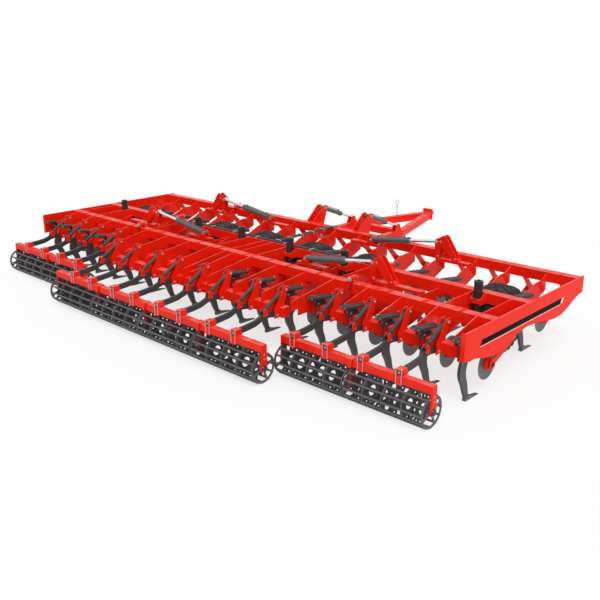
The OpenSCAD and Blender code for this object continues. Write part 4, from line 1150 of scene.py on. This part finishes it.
# Hubs: X from the disc at which cap and flange start and end, then share of the length and radius
CAP_START, CAP_END = 0.064, 0.09
HUB_CAP = [(0, 0.064), (0.15, 0.068), (0.7, 0.068), (0.85, 0.062), (0.88, 0.046), (0.7, 0.042)]
FLANGE_START, FLANGE_END = 0.005, 0.043
HUB_FLANGE = [(0, 0.084), (0.08, 0.088), (0.3, 0.088), (0.4, 0.082), (0.55, 0.07), (1, 0.066),
              (1, 0.058), (0, 0.058)]
HUB_NUT_FACE, HUB_NUT_SIZE, HUB_NUT_HEIGHT = 0.081, 2.1, 0.4


def hub_cap(bm, x, y, _, arm, *__):
    """A cap with a sunk middle on the outer side of a disc's arm."""
    tube(bm, (x + arm * CAP_START, y, DISC_Z), (x + arm * CAP_END, y, DISC_Z), HUB_CAP, sides=28)


def hub_flange(bm, x, y, _, arm, *__):
    """A ring round the hub between a disc and its arm."""
    tube(bm, (x + arm * FLANGE_START, y, DISC_Z), (x + arm * FLANGE_END, y, DISC_Z), HUB_FLANGE,
         sides=32, bored=True)


class CULTIVATOR_OT_hub_caps(bpy.types.Operator):
    """Caps the discs' hubs on the outer side of their arms, and rings them on the discs' side"""

    bl_idname = "cultivator.hub_caps"
    bl_label = "Hub caps"
    bl_options = {"REGISTER", "UNDO"}

    def execute(self, context):
        per_section("hub_caps", "red", "red", disc_units(), hub_cap)
        for row, own in grouped(disc_units(), lambda unit: unit[-1]).items():
            solid("hub_flanges_" + row, row, "red", "strap",
                  lambda bm: [hub_flange(bm, *unit) for unit in own])
        nuts = [(section(x), Vector((x + arm * HUB_NUT_FACE, y, DISC_Z)), RIGHT * arm, HUB_NUT_SIZE)
                for x, y, _, arm, *_ in disc_units()]
        bolts_on("hub_nuts", nuts, context.scene.cultivator_look.bolt, HUB_NUT_HEIGHT,
                 slot="black", finish_name="post")
        return {"FINISHED"}


# Cylinders: start and end of the barrel from its pin, and its radius
FOLD_BARREL, LEVEL_BARREL = (0.062, 0.8, 0.05), (0.058, 0.62, 0.042)
# Base cap and gland: distance from the barrel's start or end, and radius over the barrel's
BASE_CAP = ((0.004, 0.004), (0.028, 0.004), (0.032, 0.001))
GLAND = ((-0.06, 0.001), (-0.056, 0.006), (-0.032, 0.006), (-0.03, 0.003), (-0.022, 0.003),
         (-0.02, 0.006), (-0.002, 0.006))
BASE_SHARE = 0.99
# Ports: distance from start and end, sink, height, then share of the height and radius
PORT_START, PORT_END, PORT_SINK, PORT_HEIGHT = 0.07, 0.1, 0.004, 0.03
PORT = [(0, 0.018), (0.55, 0.018), (0.6, 0.014), (1, 0.014)]
PORT_PIPE_R, PORT_PIPE_RISE = 0.007, 0.014
# Lift posts: low and high end, share of the length and radius, and sides
POST_CAPS = (
    (1.06, 1.215, [(0, 0.0605), (0.02, 0.0635), (0.16, 0.0635), (0.18, 0.061), (0.84, 0.061),
                   (0.86, 0.0645), (0.97, 0.0645), (1, 0.058)], 28),
    (1.214, 1.228, [(0, 0.024), (0.7, 0.024), (1, 0.018)], 6),
    (0.955, 0.972, [(0, 0.0605), (0.3, 0.0655), (0.7, 0.0655), (1, 0.0605)], 28),
)


def barrel_fittings(bm, pin, rod_pin, start, end, r):
    """Base cap, gland with its wrench groove, and two ports with a pipe between them."""
    u = (rod_pin - pin).normalized()
    up = (UP - u * u.z).normalized()
    base = [(start, r * BASE_SHARE)] + [(start + d, r + over) for d, over in BASE_CAP]
    turned(bm, pin, u, base, sides=32)
    turned(bm, pin, u, [(end + d, r + over) for d, over in GLAND], sides=32)
    for d in (start + PORT_START, end - PORT_END):
        foot = pin + u * d + up * (r - PORT_SINK)
        tube(bm, foot, foot + up * PORT_HEIGHT, PORT, sides=10)
    pipe = pin + u * (start + PORT_START) + up * (r + PORT_PIPE_RISE)
    run = end - start - PORT_START - PORT_END
    tube(bm, pipe, pipe + u * run, [(0, PORT_PIPE_R), (1, PORT_PIPE_R)], sides=8)


def fold_fittings(bm, s):
    """Fittings of the two fold cylinders on one side."""
    for y in (FOLD_REAR, FOLD_FRONT):
        pin, rod_pin = (Vector((s * p.x, y, p.z)) for p in (FOLD_ANCHOR, FOLD_PIN))
        barrel_fittings(bm, pin, rod_pin, *FOLD_BARREL)


def level_fittings(bm):
    """Fittings of the two levelling cylinders."""
    for s in BOTH:
        pin, rod_pin = (Vector((s * p.x, p.y, p.z)) for p in (LEVEL_FIXED, LEVEL_ROD))
        barrel_fittings(bm, pin, rod_pin, *LEVEL_BARREL)


def post_caps(bm, x, y):
    """Sleeve, top nut and collar of a lift post."""
    for low, high, radii, sides in POST_CAPS:
        tube(bm, (x, y, low), (x, y, high), radii, sides)


class CULTIVATOR_OT_cylinders(bpy.types.Operator):
    """Dresses the cylinders with glands, end caps and ports, and the lift posts with caps"""

    bl_idname = "cultivator.cylinders"
    bl_label = "Cylinders"
    bl_options = {"REGISTER", "UNDO"}

    def execute(self, context):
        for s, side in SIDES:
            solid("fold_fittings_" + side, "fold_barrels_" + side, "barrel", "barrel",
                  lambda bm: fold_fittings(bm, s))
        solid("level_fittings", "level_barrels", "barrel", "barrel", level_fittings)
        posts = [(x, POST_Y) for x in WHEELS.values()]
        per_section("lift_post_caps", "black", "post", posts, post_caps)
        return {"FINISHED"}


# Strut forks: place along the arm from its bolt, rise over the arm, inner face and thickness
FORK_ALONG, FORK_RISE, FORK_FACE, FORK_THICK = 0.22, 0.0785, 0.0225, 0.012
# Outline of Y and Z about the strut's pin
FORK = ((-0.05, -0.075), (0.05, -0.075), (0.034, 0.016), (0.014, 0.034), (-0.014, 0.034),
        (-0.034, 0.016))


def strut_fork(bm, x, bar, y):
    """Two cheeks on the arm's curve, one on each side of the strut."""
    t = FORK_ALONG / (bar - ARM_REACH - y)
    ease = (1 - math.cos(math.pi * t)) / 2
    bow = ARM_BOW * math.sin(FULL_TURN * min(t, 0.5))
    z = ARM_HIGH + (ARM_LOW - ARM_HIGH) * ease + bow + FORK_RISE
    for left in (x - FORK_FACE - FORK_THICK, x + FORK_FACE):
        plate(bm, left, FORK_THICK, bar - ARM_REACH - FORK_ALONG, z, FORK)


class CULTIVATOR_OT_strut_ends(bpy.types.Operator):
    """Covers the roller struts' ends with red forks"""

    bl_idname = "cultivator.strut_ends"
    bl_label = "Strut ends"
    bl_options = {"REGISTER", "UNDO"}

    def execute(self, context):
        per_section("strut_forks", "red", "red", arms(), strut_fork, bevel=0.002)
        return {"FINISHED"}


# Side plates' bands: name, slot, finish, rear, front, low, high, and how far the top leans ahead
BANDS = (
    ("side_stripe", "black", "stripe", st(330), st(2540), 0.772, 0.848, 0.03),
    ("side_stripe_end", "zinc", "pale", st(2555), st(2615), 0.772, 0.848, 0.03),
    ("side_stripe_line", "zinc", "pale", st(330), st(2540), 0.756, 0.763, 0.003),
)
BAND_SINK, BAND_THICK = 0.0002, 0.0012


class CULTIVATOR_OT_stripes(bpy.types.Operator):
    """Lays the plain dark stripe with its pale line and pale end on the side plates"""

    bl_idname = "cultivator.stripes"
    bl_label = "Side stripes"
    bl_options = {"REGISTER", "UNDO"}

    def execute(self, context):
        for s, side in SIDES:
            x, body = s * (PLATE_X - BAND_SINK), "wing_" + side
            for name, slot, finish_name, y0, y1, z0, z1, lean in BANDS:
                outline = ((y0, z0), (y1, z0), (y1 + lean, z1), (y0 + lean, z1))
                solid(f"{name}_{body}", body, slot, finish_name,
                      lambda bm: plate(bm, x, s * BAND_THICK, 0, 0, outline))
        return {"FINISHED"}


# Weld seams: foot, radius, and heights on full webs, low webs and front webs
SEAM_FOOT, SEAM_R = 0.88, 0.006
SEAM_FULL, SEAM_LOW, SEAM_FRONT = 0.14, 0.048, 0.13


class CULTIVATOR_OT_seams(bpy.types.Operator):
    """Runs weld seams along the joints of beams and webs"""

    bl_idname = "cultivator.seams"
    bl_label = "Seams"
    bl_options = {"REGISTER", "UNDO"}

    def execute(self, context):
        seams = []

        def seam(x, y, height, line):
            seams.append((section(line), Vector((x, y, SEAM_FOOT)), UP, height))

        for s in BOTH:
            for x in REAR_LINES:
                height = SEAM_FULL if x in FULL_WEBS else SEAM_LOW
                for face in REAR_WEB:
                    for y in (BEAM_REAR + BEAM_HALF, BEAM_MID - BEAM_HALF):
                        seam(s * (x - face), y, height, s * x)
            for x in FRONT_LINES:
                for face in FRONT_WEB:
                    seam(s * (x - face), BEAM_FRONT - BEAM_HALF, SEAM_FRONT, s * x)
        on_spots("weld_seams", "leg", seams, "red", "red", leg_radius=SEAM_R)
        return {"FINISHED"}


# Straps over the rear beam: places, half width, inner face, thickness of a leg and three heights
STRAP_LINES = (0.32, 0.86, 1.3, 1.93, 2.8, 3.25, 3.85, 4.42)
STRAP_HALF, STRAP_FACE, STRAP_THICK = 0.025, 0.0752, 0.006
STRAP_FOOT, STRAP_LOW, STRAP_TOP = 0.955, 1.0268, 1.0325


def beam_strap(bm, x, y):
    """A strap over a beam with a leg down each side."""
    x0, x1, reach = x - STRAP_HALF, x + STRAP_HALF, STRAP_FACE + STRAP_THICK
    block(bm, x0, x1, y - reach, y + reach, STRAP_LOW, STRAP_TOP)
    for y0 in (y - reach, y + STRAP_FACE):
        block(bm, x0, x1, y0, y0 + STRAP_THICK, STRAP_FOOT, STRAP_LOW)


class CULTIVATOR_OT_beam_straps(bpy.types.Operator):
    """Lays straps over the rear beam"""

    bl_idname = "cultivator.beam_straps"
    bl_label = "Beam straps"
    bl_options = {"REGISTER", "UNDO"}

    def execute(self, context):
        spans = [(s * x, BEAM_REAR) for s in BOTH for x in STRAP_LINES]
        per_section("beam_straps", "red", "strap", spans, beam_strap, bevel=0.0015)
        return {"FINISHED"}


# Pipe clips: half width, and low and high of the top, of the legs and of the lower bar
CLIP_HALF = 0.012
CLIP_TOP, CLIP_LEG, CLIP_BAR = (1.0505, 1.0565), (1.027, 1.053), (1.0215, 1.0275)
# On the beam: places, Y from the beam's middle, half span, legs' rear faces and their thickness
CLIP_LINES, BEAM_CLIP_Y = (0.35, 0.95, 1.55, 2.1), -0.015
BEAM_CLIP_SPAN, BEAM_CLIP_LEGS, CLIP_LEG_THICK = 0.05, (-0.047, 0.045), 0.005
# Over the centre: X, first place from the beam's middle, pitch and count, half span and legs
PIPE_X, PIPE_START, PIPE_PITCH, PIPE_COUNT = 0.094, 0.06, 0.29, 6
PIPE_CLIP_SPAN, PIPE_CLIP_LEGS, PIPE_LEG_HALF = 0.06, (-0.055, 0.055), 0.005


def pipe_clip(bm, x, y, over_centre):
    """A clip over the pipes on the beam, or round those that run ahead over the centre."""
    if over_centre:
        across = (x - PIPE_CLIP_SPAN, x + PIPE_CLIP_SPAN, y - CLIP_HALF, y + CLIP_HALF)
        block(bm, *across, *CLIP_TOP)
        block(bm, *across, *CLIP_BAR)
        for d in PIPE_CLIP_LEGS:
            block(bm, x + d - PIPE_LEG_HALF, x + d + PIPE_LEG_HALF, y - CLIP_HALF, y + CLIP_HALF,
                  *CLIP_LEG)
    else:
        x0, x1 = x - CLIP_HALF, x + CLIP_HALF
        block(bm, x0, x1, y - BEAM_CLIP_SPAN, y + BEAM_CLIP_SPAN, *CLIP_TOP)
        for d in BEAM_CLIP_LEGS:
            block(bm, x0, x1, y + d, y + d + CLIP_LEG_THICK, *CLIP_LEG)


class CULTIVATOR_OT_pipe_clips(bpy.types.Operator):
    """Holds the hydraulic pipes with clips"""

    bl_idname = "cultivator.pipe_clips"
    bl_label = "Pipe clips"
    bl_options = {"REGISTER", "UNDO"}

    def execute(self, context):
        clips = [(s * x, BEAM_MID + BEAM_CLIP_Y, False) for s in BOTH for x in CLIP_LINES]
        clips += [(PIPE_X, BEAM_MID + PIPE_START + PIPE_PITCH * k, True) for k in range(PIPE_COUNT)]
        per_section("pipe_clips", "zinc", "zinc", clips, pipe_clip, bevel=0.0015)
        return {"FINISHED"}


class CULTIVATOR_PT_panel(bpy.types.Panel):
    """Lists the dressing's steps and settings"""

    bl_label = "Cultivator"
    bl_idname = "CULTIVATOR_PT_panel"
    bl_space_type = "VIEW_3D"
    bl_region_type = "UI"
    bl_category = "Cultivator"

    def draw(self, context):
        for step in STEPS:
            self.layout.operator(step.bl_idname)
        for group in (context.scene.cultivator_look, context.scene.cultivator_stage):
            for key in group.__annotations__:
                self.layout.prop(group, key)


STEPS = (
    CULTIVATOR_OT_stage, CULTIVATOR_OT_finishes, CULTIVATOR_OT_tyres, CULTIVATOR_OT_bolts,
    CULTIVATOR_OT_bar_bolts, CULTIVATOR_OT_roller_clamps, CULTIVATOR_OT_roller_cores,
    CULTIVATOR_OT_bearings, CULTIVATOR_OT_hub_caps, CULTIVATOR_OT_cylinders,
    CULTIVATOR_OT_strut_ends, CULTIVATOR_OT_stripes, CULTIVATOR_OT_seams,
    CULTIVATOR_OT_beam_straps, CULTIVATOR_OT_pipe_clips,
)
CLASSES = (CultivatorLook, CultivatorStage) + STEPS + (CULTIVATOR_PT_panel,)


def register():
    """Registers the classes and the settings."""
    for c in CLASSES:
        bpy.utils.register_class(c)
    bpy.types.Scene.cultivator_look = bpy.props.PointerProperty(type=CultivatorLook)
    bpy.types.Scene.cultivator_stage = bpy.props.PointerProperty(type=CultivatorStage)


def unregister():
    """Takes the settings and the classes out again."""
    del bpy.types.Scene.cultivator_stage
    del bpy.types.Scene.cultivator_look
    for c in reversed(CLASSES):
        bpy.utils.unregister_class(c)


def main():
    """Runs every step in order."""
    register()
    for step in STEPS:
        group, name = step.bl_idname.split(".")
        getattr(getattr(bpy.ops, group), name)()


if __name__ == "__main__":
    main()
